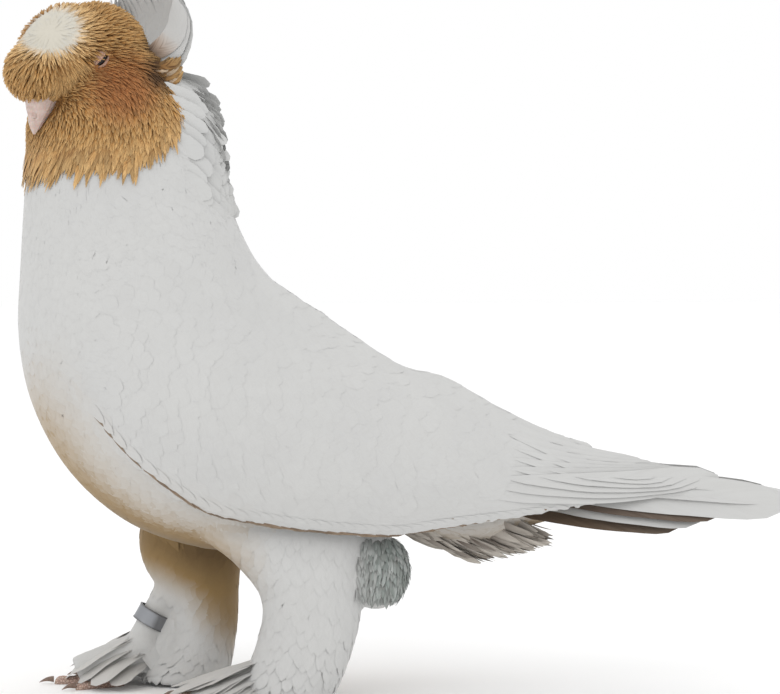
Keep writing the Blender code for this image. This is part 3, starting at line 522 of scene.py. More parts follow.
@dataclass(frozen=True)
class Plumage:
    """Keratin feathers: soft, matte vanes of fine slanting barbs with a faint sheen along them."""

    name: str
    white: str = "#C7C7C5"
    shade: str = "#C1C1C0"
    # The warm tan stains the breast and the underside, and also stands in for the shade there.
    warm: str = "#A98C5C"
    cool: str = "#8B9490"
    brown_root: str = "#41270F"
    brown: str = "#A8793F"
    brown_tip: str = "#CBA771"
    red: str = "#96592F"
    gold: str = "#DDBB86"
    pale: str = "#CAC5B8"
    # The dark brown is painted shade at roots, in creases, under the wing's edge and among the tail's lower
    # feathers, and darkens some locks at random.
    dusk: str = "#3B2718"
    between: str = "#745136"
    barb_mm: float = 0.45
    patch_mm: float = 26.0
    streak_mm: float = 0.9
    relief_mm: float = 0.05
    roughness: float = 0.72
    sheen: float = 0.06
    keratin_ior: float = 1.54
    on_vanes: bool = True

    def material(self) -> bpy.types.Material:
        """Builds the material, which reads the marks and the vane map that every feather carries."""
        made = bpy.data.materials.new(self.name)
        made.use_nodes = True
        tree = made.node_tree
        shader = tree.nodes["Principled BSDF"]
        marks = {
            word: add_node(tree, "ShaderNodeAttribute", {"attribute_name": word}).outputs["Fac"]
            for word in (*MARKS, "tone")
        }
        place = add_node(tree, "ShaderNodeTexCoord").outputs["Object"]
        scale = 1 / (self.patch_mm * MM)
        patches = add_node(tree, "ShaderNodeTexNoise", None, {"Vector": place, "Scale": scale, "Detail": 3.0})
        ends = {0: patches.outputs["Fac"], 6: linear(self.shade), 7: linear(self.white)}
        colour = add_node(tree, "ShaderNodeMix", MIXED, ends)
        # The warm mark tints the white, partly as a stain and partly as painted shade.
        for word, tint in (("warm", self.warm), ("cool", self.cool)):
            ends = {0: marks[word], 6: colour.outputs[2], 7: linear(tint)}
            colour = add_node(tree, "ShaderNodeMix", MIXED, ends)
        streaks, height, along = self.streaks(tree, place)
        ramp = add_node(tree, "ShaderNodeValToRGB", None, {"Fac": along})
        ramp.color_ramp.elements[0].color = linear(self.brown_root)
        ramp.color_ramp.elements[1].color = linear(self.brown_tip)
        ramp.color_ramp.elements.new(0.4).color = linear(self.brown)
        brown = ramp.outputs["Color"]
        for word, tint in (("red", self.red), ("gold", self.gold)):
            brown = add_node(
                tree, "ShaderNodeMix", MIXED, {0: marks[word], 6: brown, 7: linear(tint)}
            ).outputs[2]
        # The blaze's white fades out towards the tips of its locks.
        fade = add_node(tree, "ShaderNodeMath", TIMES_PLUS, {0: along, 1: -1.3, 2: 1.8}).outputs[0]
        pale = {0: marks["pale"], 1: fade}
        marks["pale"] = add_node(
            tree, "ShaderNodeMath", {"operation": "MULTIPLY", "use_clamp": True}, pale
        ).outputs[0]
        # The dark mark lays painted shade over the colour.
        for word, over in (("brown", brown), ("pale", linear(self.pale)), ("dusk", linear(self.dusk))):
            ends = {0: marks[word], 6: colour.outputs[2], 7: over}
            colour = add_node(tree, "ShaderNodeMix", MIXED, ends)
        # The barbs show strongly in brown and hardly in white.
        shares = add_node(
            tree, "ShaderNodeMath", TIMES_PLUS, {0: marks["brown"], 1: 0.75, 2: 0.035}
        ).outputs[0]
        fine = {0: shares, 6: colour.outputs[2], 7: streaks}
        depth = add_node(tree, "ShaderNodeMix", {"data_type": "RGBA", "blend_type": "MULTIPLY"}, fine)
        # Brown locks differ more in tone from one another than white feathers do.
        spread = add_node(tree, "ShaderNodeMath", TIMES_PLUS, {0: shares, 1: 0.62, 2: 0.0})
        dull = add_node(tree, "ShaderNodeMath", TIMES_PLUS, {0: marks["pale"], 1: -0.3, 2: 0.5})
        off = add_node(
            tree, "ShaderNodeMath", {"operation": "SUBTRACT"}, {0: marks["tone"], 1: dull.outputs[0]}
        )
        tone = add_node(
            tree, "ShaderNodeMath", TIMES_PLUS, {0: off.outputs[0], 1: spread.outputs[0], 2: 1.0}
        )
        final = add_node(
            tree, "ShaderNodeVectorMath", {"operation": "SCALE"}, {
                0: depth.outputs[2], "Scale": tone.outputs[0]
            }
        )
        relief = add_node(
            tree, "ShaderNodeBump", None, {"Strength": 0.6, "Distance": self.relief_mm * MM, "Height": height}
        )
        tree.links.new(final.outputs[0], shader.inputs["Base Color"])
        tree.links.new(relief.outputs["Normal"], shader.inputs["Normal"])
        shader.inputs["Roughness"].default_value = self.roughness
        shader.inputs["IOR"].default_value = self.keratin_ior
        shader.inputs["Specular IOR Level"].default_value = 0.25
        shader.inputs["Sheen Weight"].default_value = self.sheen
        shader.inputs["Sheen Roughness"].default_value = 0.5
        return made

    def streaks(
        self, tree: bpy.types.NodeTree, place: bpy.types.NodeSocket
    ) -> tuple[bpy.types.NodeSocket, bpy.types.NodeSocket, bpy.types.NodeSocket | float]:
        """Adds the fine barbs, along each vane where there is one and over the skin where not.

        Args:
            tree: The material's tree.
            place: The object coordinates.

        Returns:
            The streaks as a colour, the same as a height, and the place along the vane.
        """
        along: bpy.types.NodeSocket | float = 0.3
        if self.on_vanes:
            vane = add_node(tree, "ShaderNodeUVMap", {"uv_map": VANE_MAP})
            parts = add_node(tree, "ShaderNodeSeparateXYZ", None, {0: vane.outputs["UV"]})
            along = parts.outputs["Y"]
            tone = add_node(tree, "ShaderNodeAttribute", {"attribute_name": "tone"}).outputs["Fac"]
            off_shaft = add_node(
                tree, "ShaderNodeMath", {"operation": "SUBTRACT"}, {0: parts.outputs["X"], 1: 0.5}
            )
            across = add_node(tree, "ShaderNodeMath", {"operation": "ABSOLUTE"}, {0: off_shaft.outputs[0]})
            slope = {0: across.outputs[0], 1: -BARB_SLANT, 2: along}
            slant = add_node(tree, "ShaderNodeMath", TIMES_PLUS, slope)
            count = {0: slant.outputs[0], 1: USUAL_VANE / self.barb_mm}
            barbs = add_node(tree, "ShaderNodeMath", TIMES, count)
            own = add_node(tree, "ShaderNodeMath", TIMES, {0: tone, 1: 71.0})
            spread = add_node(tree, "ShaderNodeMath", TIMES, {0: parts.outputs["X"], 1: 2.0})
            spot = {0: barbs.outputs[0], 1: spread.outputs[0], 2: own.outputs[0]}
            vector = add_node(tree, "ShaderNodeCombineXYZ", None, spot).outputs[0]
            grain = add_node(tree, "ShaderNodeTexNoise", None, {"Vector": vector, "Scale": 1.0, "Detail": 2.0})
        else:
            scale = 1 / (self.streak_mm * MM)
            grain = add_node(
                tree, "ShaderNodeTexNoise", None, {"Vector": place, "Scale": scale, "Detail": 2.0}
            )
        lines = add_node(tree, "ShaderNodeValToRGB", None, {"Fac": grain.outputs["Fac"]})
        lines.color_ramp.elements[0].position = 0.3
        lines.color_ramp.elements[0].color = linear(self.between)
        lines.color_ramp.elements[1].position = 0.56
        lines.color_ramp.elements[1].color = (1.0, 1.0, 1.0, 1.0)
        return lines.outputs["Color"], grain.outputs["Fac"], along


@dataclass(frozen=True)
class Horn:
    """Beak and claw horn: smooth satin keratin, worn a little paler and rougher in fine lines of growth."""

    name: str
    base: str = "#D9C8BF"
    dark: str = "#A98B80"
    line_mm: float = 0.5
    roughness: float = 0.42
    relief_mm: float = 0.03
    keratin_ior: float = 1.54
    subsurface: float = 0.15

    def material(self) -> bpy.types.Material:
        """Builds the material."""
        made = bpy.data.materials.new(self.name)
        made.use_nodes = True
        tree = made.node_tree
        shader = tree.nodes["Principled BSDF"]
        place = add_node(tree, "ShaderNodeTexCoord").outputs["Object"]
        grain = add_node(
            tree, "ShaderNodeTexNoise", None, {
                "Vector": place, "Scale": 0.3 / (self.line_mm * MM), "Detail": 4.0
            }
        )
        colour = add_node(
            tree,
            "ShaderNodeMix",
            MIXED,
            {0: grain.outputs["Fac"], 6: linear(self.dark), 7: linear(self.base)},
        )
        relief = add_node(
            tree,
            "ShaderNodeBump",
            None,
            {"Strength": 0.5, "Distance": self.relief_mm * MM, "Height": grain.outputs["Fac"]},
        )
        tree.links.new(colour.outputs[2], shader.inputs["Base Color"])
        tree.links.new(relief.outputs["Normal"], shader.inputs["Normal"])
        shader.inputs["Roughness"].default_value = self.roughness
        shader.inputs["IOR"].default_value = self.keratin_ior
        shader.inputs["Subsurface Weight"].default_value = self.subsurface
        shader.inputs["Subsurface Scale"].default_value = MM
        return made


@dataclass(frozen=True)
class BareSkin:
    """Pigeon's toe and lid skin: dry, pinkish red and crossed by fine scales that catch the light."""

    name: str
    base: str = "#C6AEA0"
    dark: str = "#8C7064"
    scale_mm: float = 1.1
    relief_mm: float = 0.12
    roughness: float = 0.55
    skin_ior: float = 1.42

    def material(self) -> bpy.types.Material:
        """Builds the material."""
        made = bpy.data.materials.new(self.name)
        made.use_nodes = True
        tree = made.node_tree
        shader = tree.nodes["Principled BSDF"]
        place = add_node(tree, "ShaderNodeTexCoord").outputs["Object"]
        cells = add_node(
            tree,
            "ShaderNodeTexVoronoi",
            {"feature": "DISTANCE_TO_EDGE"},
            {"Vector": place, "Scale": 1 / (self.scale_mm * MM)},
        )
        seams = add_node(
            tree, "ShaderNodeMapRange", None, {
                "Value": cells.outputs["Distance"], "From Min": 0.0, "From Max": 0.22
            }
        )
        colour = add_node(
            tree,
            "ShaderNodeMix",
            MIXED,
            {0: seams.outputs["Result"], 6: linear(self.dark), 7: linear(self.base)},
        )
        relief = add_node(
            tree,
            "ShaderNodeBump",
            None,
            {"Strength": 0.7, "Distance": self.relief_mm * MM, "Height": seams.outputs["Result"]},
        )
        tree.links.new(colour.outputs[2], shader.inputs["Base Color"])
        tree.links.new(relief.outputs["Normal"], shader.inputs["Normal"])
        shader.inputs["Roughness"].default_value = self.roughness
        shader.inputs["IOR"].default_value = self.skin_ior
        shader.inputs["Subsurface Weight"].default_value = 0.1
        shader.inputs["Subsurface Scale"].default_value = MM
        return made


@dataclass(frozen=True)
class EyeGlass:
    """The eyeball: a wet, clear cornea over a dark red-brown iris, so it is nearly black and mirror smooth."""

    name: str
    iris: str = "#1E0F0B"
    pupil: str = "#060404"
    spot_mm: float = 1.6
    roughness: float = 0.1
    cornea_ior: float = 1.376

    def material(self) -> bpy.types.Material:
        """Builds the material."""
        made = bpy.data.materials.new(self.name)
        made.use_nodes = True
        tree = made.node_tree
        shader = tree.nodes["Principled BSDF"]
        place = add_node(tree, "ShaderNodeTexCoord").outputs["Object"]
        flecks = add_node(
            tree, "ShaderNodeTexNoise", None, {
                "Vector": place, "Scale": 1 / (self.spot_mm * MM), "Detail": 3.0
            }
        )
        colour = add_node(
            tree,
            "ShaderNodeMix",
            MIXED,
            {0: flecks.outputs["Fac"], 6: linear(self.pupil), 7: linear(self.iris)},
        )
        tree.links.new(colour.outputs[2], shader.inputs["Base Color"])
        shader.inputs["Roughness"].default_value = self.roughness
        shader.inputs["IOR"].default_value = self.cornea_ior
        return made


@dataclass(frozen=True)
class RingMetal:
    """Anodised aluminium of a closed leg ring: satin grey, brushed round, with grime in its rolled edges."""

    name: str
    base: str = "#94969A"
    grime: str = "#4A4744"
    brush_mm: float = 0.35
    roughness: float = 0.38

    def material(self) -> bpy.types.Material:
        """Builds the material."""
        made = bpy.data.materials.new(self.name)
        made.use_nodes = True
        tree = made.node_tree
        shader = tree.nodes["Principled BSDF"]
        place = add_node(tree, "ShaderNodeTexCoord").outputs["Object"]
        rim = add_node(tree, "ShaderNodeAttribute", {"attribute_name": "dusk"})
        brushed = add_node(
            tree, "ShaderNodeTexNoise", None, {
                "Vector": place, "Scale": 1 / (self.brush_mm * MM), "Detail": 4.0
            }
        )
        dirt = add_node(
            tree,
            "ShaderNodeMath",
            TIMES,
            {0: rim.outputs["Fac"], 1: brushed.outputs["Fac"]},
        )
        dirty = add_node(tree, "ShaderNodeMath", TIMES, {0: dirt.outputs[0], 1: 1.6})
        colour = add_node(
            tree,
            "ShaderNodeMix",
            MIXED,
            {0: dirty.outputs[0], 6: linear(self.base), 7: linear(self.grime)},
        )
        rough = add_node(
            tree,
            "ShaderNodeMapRange",
            None,
            {"Value": brushed.outputs["Fac"], "To Min": self.roughness - 0.1, "To Max": self.roughness + 0.15},
        )
        tree.links.new(colour.outputs[2], shader.inputs["Base Color"])
        tree.links.new(rough.outputs["Result"], shader.inputs["Roughness"])
        shader.inputs["Metallic"].default_value = 1.0
        return made


@dataclass
class Markings:
    """Where the bird is brown, white, warm or bluish, and where shade is painted into its plumage, by rules on
    the tube and the head.
    """

    form: Form
    border_angles: tuple[float, ...] = (0, 25, 38, 48, 60, 75, 90, 120, 150, 180)
    border_places: tuple[float, ...] = (13.6, 13.3, 12.6, 12.0, 11.5, 11.1, 11.1, 11.6, 11.8, 11.8)
    border_soft: float = 0.02
    blaze_middle: tuple[float, float, float] = (15.0, 0.0, 13.0)
    blaze_facing: float = 54.0
    blaze_half: tuple[float, float] = (10.6, 7.6)
    # Middle forward, aside and up in the head, full radius and faded radius.
    cheek: tuple[float, ...] = (-6.0, 18.0, -13.0, 10.0, 22.0)
    # Under the whorl and behind the crown the brown darkens, partly in its own colour and partly as painted
    # shade below the whorl and the crest.
    under_whorl: tuple[float, ...] = (-20.5, 21.0, -6.5, 5.0, 12.0)
    behind_crown: tuple[float, ...] = (-21.0, 17.0, 6.0, 2.0, 8.0)
    samples: tuple[int, int] = (260, 120)

    def __post_init__(self) -> None:
        """Lays out the tube's samples, by which a place finds its section and angle."""
        at, angle = np.meshgrid(
            np.linspace(0, len(self.form.sections) - 1, self.samples[0]),
            np.linspace(-math.pi, math.pi, self.samples[1], endpoint=False),
            indexing="ij",
        )
        self.at, self.angle = at.ravel(), angle.ravel()
        self.tree = planted(self.form.tube(self.at, self.angle))

    def on_tube(self, places: np.ndarray) -> tuple[np.ndarray, np.ndarray]:
        """The section and the angle of the tube nearest to each place."""
        found = np.array([self.tree.find(place)[1] for place in places])
        return self.at[found], self.angle[found]

    def brown_share(self, at: np.ndarray, angle: np.ndarray, jitter: np.ndarray | float = 0.0) -> np.ndarray:
        """How brown the plumage is at places on the tube.

        Args:
            at: Places along the tube.
            angle: Angles round it.
            jitter: A shift of the border for each place, in sections.

        Returns:
            Shares from 0 for white to 1 for brown.
        """
        border = np.interp(np.degrees(np.abs(angle)), self.border_angles, self.border_places)
        return rise(-self.border_soft, self.border_soft, at - border + jitter)

    def blaze_reach(self, head: np.ndarray) -> np.ndarray:
        """How far places in the head lie from the blaze's middle, as a share of its half size."""
        off = head - self.blaze_middle
        facing = math.radians(self.blaze_facing)
        across = -off[..., 0] * math.sin(facing) + off[..., 1] * math.cos(facing)
        ahead = off[..., 0] * math.cos(facing) + off[..., 1] * math.sin(facing)
        # The blaze is a rounded oblong, between an ellipse and its box.
        wide, high = np.abs(across / self.blaze_half[0]), np.abs(off[..., 2] / self.blaze_half[1])
        reach = (wide**2.6 + high**2.6) ** 0.38
        return np.where(ahead > 0, reach, 9.0)

    def near(self, head: np.ndarray, spot: tuple[float, ...]) -> np.ndarray:
        """How near places in the head lie to a spot on either side, from 1 inside it to 0."""
        far = np.linalg.norm(head - spot[:3], axis=1)
        return 1 - rise(spot[3], spot[4], far)

    def marks(self, places: np.ndarray, jitter: np.ndarray | float = 0.0) -> dict[str, np.ndarray]:
        """Every mark at each place.

        Args:
            places: Points in the bird's frame.
            jitter: A shift of the brown's border for each place, in sections.

        Returns:
            A share for each name in MARKS.
        """
        at, angle = self.on_tube(places)
        front = np.degrees(np.abs(angle))
        head = self.form.to_head(places)
        both = one_sided(head)
        brown = self.brown_share(at, angle, jitter) * rise(190, 210, places[:, 2])
        reach = self.blaze_reach(head)
        blaze = 1 - rise(0.66, 1.16, reach)
        rim = rise(0.6, 0.95, reach) * (1 - rise(1.2, 1.95, reach))
        high = rise(38, 68, places[:, 2]) * (1 - rise(-78, -52, places[:, 0]))
        # The breast's lower front and its edge, the belly between the legs and the far leg are tinted warm and
        # darker: partly a stain, partly painted shade where the body turns under.
        breast = rise(112, 165, front) * rise(0.5, 3, at) * (1 - rise(7.6, 9.4, at)) * high
        edge = rise(135, 168, front) * rise(0.5, 3, at) * (1 - rise(5.5, 8.8, at)) * high
        between = (
            rise(-16, 2, places[:, 1]) * (1 - rise(100, 112, places[:, 2])) * rise(-106, -84, places[:, 0])
        )
        belly = rise(100, 140, front) * (1 - rise(5.0, 6.6, at)) * between
        # On the far leg the painted shade falls from the belly's fold back and down, where the near leg and the
        # belly shade it.
        leg = (1 - rise(56, 66, places[:, 2])) * rise(-66, -36, places[:, 0] + places[:, 2])
        leg = leg * rise(-100, -80, places[:, 0]) * (1 - rise(24, 36, places[:, 1]))
        under = np.maximum(belly * rise(30, 60, places[:, 2]), leg * rise(-16, 2, places[:, 1]))
        throat = rise(-26, -40, head[:, 2])
        # Darker brown under the whorl and behind the crown, partly painted shade.
        dark = np.maximum(self.near(both, self.under_whorl), 0.8 * self.near(both, self.behind_crown))
        # The warm and the dark marks paint shade into the plumage on the breast, the belly and the far leg; the
        # dark mark also darkens under the whorl and behind the crown.
        return {
            "brown": brown * (1 - blaze),
            "pale": blaze * brown,
            "warm": np.clip(0.6 * breast + 0.75 * edge + 0.95 * under, 0, 1) * (1 - brown),
            "cool": 0 * brown,
            "dusk": np.clip(0.85 * dark * brown + 0.5 * edge + 0.27 * under, 0, 1),
            "red": 0.75 * self.near(both, self.cheek),
            "gold": np.clip(0.95 * rim + 0.2 * throat, 0, 1),
        }


@dataclass
class Skin:
    """The body under the coat: one closed skin over body, neck, head, wings, tail root, thighs and feet."""

    bench: Bench
    form: Form
    markings: Markings
    depth: float = 0.5
    voxel: float = 1.5
    smoothing: int = 8
    wing_inset: float = 0.7
    wing_ends_at: float = 9.6
    eye_place: tuple[float, float, float] = (2.6, 17.8, 0.5)
    eye_radius: float = 4.3
    # The ends of the eye's slit, along which no feather is rooted.
    slit_ends: tuple[tuple[float, float, float], ...] = ((5.6, 17.8, -2.4), (0.2, 17.8, 3.4))
    # Middles and half sizes of the skull, its back and the brow's roll, forward, left and up in the head.
    skull: tuple[tuple[float, ...], ...] = (
        (5, 0, 1, 22, 19.6, 21.8),
        (-9, 0, 2, 22, 19.6, 21.5),
        (22, 0, -4.8, 10.8, 14, 11.6),
    )
    bill_root: tuple[float, float, float] = (15.0, 0.0, -9.0)
    # The point in the blaze from which the feathers above the brow radiate, and the brow's line.
    pole: tuple[float, float, float] = (22.0, 9.5, 13.0)
    brow_ahead: tuple[float, ...] = (-12.0, 3.0, 14.0, 24.0)
    brow_up: tuple[float, ...] = (-3.0, 1.0, -9.0, -16.5)
    crown_puff: float = 1.4
    leg_spread: float = 26.0
    left_leg: tuple[tuple[float, ...], ...] = (
        (-54, 88, 24, 7),
        (-51, 74, 34, 12),
        (-44, 61, 27, 15.5),
        (-39, 48, 21.5, 15.5),
        (-38, 37, 21, 14.5),
        (-40, 28, 21, 14.5),
        (-44, 16, 21, 14.5),
        (-50, 6, 22, 15),
        (-53, 2, 20, 14),
    )
    right_leg: tuple[tuple[float, ...], ...] = (
        (-84, 94, 24, 14),
        (-88, 66, 24, 16),
        (-88, 52, 21, 15),
        (-85, 42, 17, 13),
        (-82, 30, 13.5, 12),
        (-84, 16, 13.5, 12),
        (-91, 6, 18, 14),
        (-94, 2, 18, 13),
    )
    # Ends and radius of the shank, of the web behind it and of the instep.
    rods: tuple[tuple[float, ...], ...] = (
        (-97, 47, -119, 7, 5.9),
        (-94, 31, -103, 6, 6.5),
        (-106, 20, -140, 6.5, 6.5),
    )
    tail_block: tuple[tuple[float, ...], ...] = (
        (42, 105, 10, 8, 15),
        (60, 104.5, 10, 8, 15),
        (78, 102, 9, 7, 11),
        (98, 96.5, 7, 4, 6),
    )
    under_tail: tuple[tuple[float, ...], ...] = (
        (-6, 84, 77, 11),
        (10, 88, 70, 12),
        (28, 92, 64, 12),
        (42, 94, 65, 11),
        (54, 94, 71, 8),
        (68, 94, 75, 6),
    )
    fluff: tuple[float, float, float] = (-10.0, -24.0, 57.0)
    fluff_radii: tuple[float, float, float] = (14.0, 9.0, 17.0)

    def build(self, finish: bpy.types.Material) -> bpy.types.Object:
        """Makes the skin, its marks, its lie of feathers and its unwrap.

        Args:
            finish: The skin's material.

        Returns:
            The skin, which stands for the flesh nodes.
        """
        skin = self.bench.joined("skin", self.forms())
        remesh = skin.modifiers.new("one_skin", "REMESH")
        remesh.mode = "VOXEL"
        remesh.voxel_size = self.voxel * MM
        smooth = skin.modifiers.new("soften", "SMOOTH")
        smooth.factor = 0.5
        smooth.iterations = self.smoothing
        self.bench.applied(skin)
        skin.data.shade_smooth()
        self.unwrap(skin)
        self.map_regions()
        self.lay_marks(skin)
        self.read_back(skin)
        flesh = ["torso", "neck", "head", "tail"]
        flesh += [f"{kind}_{side.word}" for kind in ("wing", "thigh", "muff") for side in Side]
        return self.bench.done(skin, finish, "white_feather", tuple(flesh))

    def forms(self) -> list[bpy.types.Object]:
        """The closed forms that the skin grows together from."""
        last = len(self.form.sections) - 1
        at, angle = np.meshgrid(
            np.linspace(0, last, 90), circle(72), indexing="ij"
        )
        rings = self.form.tube(at, angle)
        middle = rings.mean(1, keepdims=True)
        rings = rings + unit(middle - rings) * self.depth
        made = [self.bench.rings("tube", rings)]
        made += [self.wing_core(side) for side in Side]
        for side, rows in ((Side.LEFT, self.left_leg), (Side.RIGHT, self.right_leg)):
            made.append(self.column(rows, side.value * self.leg_spread))
        made += [self.rod(*numbers) for numbers in self.rods]
        made.append(self.tail_root())
        made.append(self.under_wedge())
        sockets = [(*np.array(self.eye_place) * (1, sign, 1), *(self.eye_radius,) * 3) for sign in (1, -1)]
        for numbers in (*self.skull, *sockets):
            made.append(self.bench.rings("head", self.form.in_head(self.ball(numbers[:3], numbers[3:]))))
        made.append(self.bench.rings("fluff", self.ball(self.fluff, self.fluff_radii)))
        return made

    def column(self, rows: tuple[tuple[float, ...], ...], y: float) -> bpy.types.Object:
        """A standing form through ellipses given as x, z and two half widths."""
        turn = circle(40)
        x, z, half_x, half_y = stations(rows, 6 * len(rows))
        x = x + half_x * np.cos(turn)
        ring = np.stack((x, y + half_y * np.sin(turn), np.broadcast_to(np.maximum(z, 1.5), x.shape)), -1)
        return self.bench.rings("leg", ring)

    def rod(self, x0: float, z0: float, x1: float, z1: float, radius: float) -> bpy.types.Object:
        """A round rod within the right leg, between two points given along the bird and up."""
        y = Side.RIGHT.value * self.leg_spread
        start, end = np.array((x0, y, z0)), np.array((x1, y, z1))
        one = np.array((0.0, 1.0, 0.0))
        two = np.cross(unit(end - start), one)
        turn = circle(24)[:, None]
        around = radius * (one * np.cos(turn) + two * np.sin(turn))
        spots = start + (end - start) * np.linspace(0, 1, 8)[:, None]
        return self.bench.rings("shank", spots[:, None] + around)

    def ball(self, middle: tuple[float, ...], radii: tuple[float, ...]) -> np.ndarray:
        """The rings of an ellipsoid round a point."""
        # The poles stay open by a hundredth of the half turn, and the caps close them.
        up, turn = np.meshgrid(np.linspace(-0.49 * math.pi, 0.49 * math.pi, 18), circle(30), indexing="ij")
        ring = np.stack((np.cos(up) * np.cos(turn), np.cos(up) * np.sin(turn), np.sin(up)), -1)
        return np.array(middle) + ring * np.array(radii)

    def wing_core(self, side: Side) -> bpy.types.Object:
        """The folded wing's inner form, a shell over the flank."""
        at = np.linspace(0, self.wing_ends_at, 60)[:, None]
        down = np.linspace(0, 1, 24)[None]
        thick = spline(self.form.wing, at[:, 0])[:, 7][:, None]
        inset = self.wing_inset * np.clip((at - 1.5) / 2.5, 0.3, 1) * np.minimum(1.0, 0.35 + 5 * down)
        outer = self.form.wing_point(at, down, inset)
        depth = inset + 0.8 + thick * (1 - 0.88 * down**2)
        inner = self.form.wing_point(at, down, depth)[:, ::-1]
        ring = np.concatenate((outer, inner), 1)
        ring[..., 1] = np.maximum(ring[..., 1], 0.0) * side.value
        return self.bench.rings("wing_core", ring)

    def tail_root(self) -> bpy.types.Object:
        """The block from which the tail feathers grow."""
        share = np.linspace(-1, 1, 15)
        x, ridge, half, drop, thick = stations(self.tail_block, 24)
        top = np.stack((x + 0 * share, half * share, ridge - drop * np.abs(share) ** 1.3), -1)
        low = top[:, ::-1] * np.array((1, 0.8, 1)) - np.stack((0 * x, 0 * x, thick), -1)
        return self.bench.rings("tail_root", np.concatenate((top, low), 1))

    def under_wedge(self) -> bpy.types.Object:
        """The wedge under the tail's root."""
        turn = circle(28)
        x, top, low, half = stations(self.under_tail, 24)
        ring = np.stack(
            (x + 0 * turn, half * np.cos(turn), (top + low) / 2 + (top - low) / 2 * np.sin(turn)), -1
        )
        return self.bench.rings("under_tail", ring)

    def unwrap(self, skin: bpy.types.Object) -> None:
        """Unwraps the skin's own shape, in which every feather later finds its place."""
        skin.data.uv_layers.new(name=BAKE_MAP)
        bpy.context.view_layer.objects.active = skin
        skin.select_set(True)
        bpy.ops.object.mode_set(mode="EDIT")
        bpy.ops.mesh.select_all(action="SELECT")
        bpy.ops.uv.smart_project(angle_limit=math.radians(66), island_margin=0.002)
        bpy.ops.object.mode_set(mode="OBJECT")
        skin.select_set(False)

    def map_regions(self) -> None:
        """Lays out samples of every form with its region and the lie of its feathers."""
        form = self.form
        at, angle = np.meshgrid(np.linspace(0.2, 19.8, 190), np.linspace(-math.pi, math.pi, 90), indexing="ij")
        at, angle = at.ravel(), angle.ravel()
        spots = [form.tube(at, angle)]
        lies = [form.tube(at - 0.15, angle) - form.tube(at + 0.15, angle)]
        kinds = [np.full(len(at), Region.BODY.value)]
        for side in Side:
            along, down = np.meshgrid(np.linspace(1.2, 9.5, 90), np.linspace(0, 1, 40), indexing="ij")
            along, down = along.ravel(), down.ravel()
            spots.append(form.wing_point(along, down) * side.flip)
            lies.append((form.wing_point(along + 0.1, down) - form.wing_point(along - 0.1, down)) * side.flip)
            kinds.append(np.full(len(along), Region.WING.value))
        x0, z0, x1, z1, _ = self.rods[0]
        spine = np.linspace((x0, 0, z0), (x1, 0, z1), 12)
        spots.append(
            np.concatenate([spine + (0, Side.RIGHT.value * self.leg_spread + y, 0) for y in (-6, 0, 6)])
        )
        lies.append(np.broadcast_to((x1 - x0, 0, z1 - z0), spots[-1].shape))
        kinds.append(np.full(len(spots[-1]), Region.LEG.value))
        for side, rows in ((Side.LEFT, self.left_leg), (Side.RIGHT, self.right_leg)):
            turn = circle(40)
            x, z, half_x, half_y = stations(rows, 40, 1.0)
            x = x + half_x * np.cos(turn)
            y = side.value * self.leg_spread + half_y * np.sin(turn)
            z = np.broadcast_to(z, x.shape)
            spots.append(np.stack((x, y, z), -1).reshape(-1, 3))
            lies.append(np.broadcast_to((-0.25, 0.0, -1.0), (x.size, 3)))
            kinds.append(np.full(x.size, Region.LEG.value))
        x, y = np.meshgrid(np.linspace(45, 100, 30), np.linspace(-10, 10, 12), indexing="ij")
        for level in (-14.0, 0.0):
            spots.append(np.stack((x, y, 109 - 0.12 * x + level), -1).reshape(-1, 3))
            lies.append(np.broadcast_to((1.0, 0.0, -0.15), (x.size, 3)))
            kinds.append(np.full(x.size, Region.RUMP.value))
        ball = self.ball(self.fluff, self.fluff_radii).reshape(-1, 3)
        spots.append(ball)
        lies.append(np.broadcast_to((-0.2, 0.0, -1.0), (len(ball), 3)))
        kinds.append(np.full(len(ball), Region.FLUFF.value))
        self.lies = unit(np.concatenate(lies))
        self.kinds = np.concatenate(kinds)
        self.map = planted(np.concatenate(spots))

    def lay_marks(self, skin: bpy.types.Object) -> None:
        """Stores the marks, the lie, the size and the coats' shares on the skin's points."""
        places = read(skin.data.vertices, "co", 3) / MM - self.bench.shift
        found = np.array([self.map.find(place)[1] for place in places])
        kind, lie = self.kinds[found], self.lies[found].copy()
        at, angle = self.markings.on_tube(places)
        marks = self.markings.marks(places)
        head = self.form.to_head(places)
        near_bill = (
            (1 - rise(12, 46, np.linalg.norm(head - self.bill_root, axis=1))) * rise(12.2, 13.5, at) * 0.85
        )
        brow = np.interp(head[:, 0], self.brow_ahead, self.brow_up)
        above = rise(-1.5, 1.5, head[:, 2] - brow) * rise(12.2, 13.2, at)
        for spot, share in ((self.bill_root, near_bill), (self.pole, above)):
            way = unit(self.form.in_head(2 * head - spot) - places)
            lie = unit(lie * (1 - share[:, None]) + way * share[:, None])
        both = one_sided(head)
        far_eye = np.linalg.norm(both - self.eye_place, axis=1)
        first, last = np.array(self.slit_ends)
        share = np.clip((both - first) @ (last - first) / np.sum((last - first) ** 2), 0, 1)[:, None]
        far_slit = np.linalg.norm(both - first - share * (last - first), axis=1)
        far_bill = np.linalg.norm(head - np.array((18.0, 0.0, -18.0)), axis=1)
        body = kind == Region.BODY.value
        far_band = np.linalg.norm(places - np.array((-106.5, 26.0, 30.2)), axis=1)
        hooded = marks["brown"] + marks["pale"] > 0.35
        plain = body & (self.markings.brown_share(at, angle, 0.22) < 0.5)
        open_face = rise(4.2, 5.0, far_slit) * rise(5.5, 7.5, far_bill)
        # Above this height the legs' own tiers of feathers take over from the coat.
        feet = (kind == Region.LEG.value) & (places[:, 2] < 36)
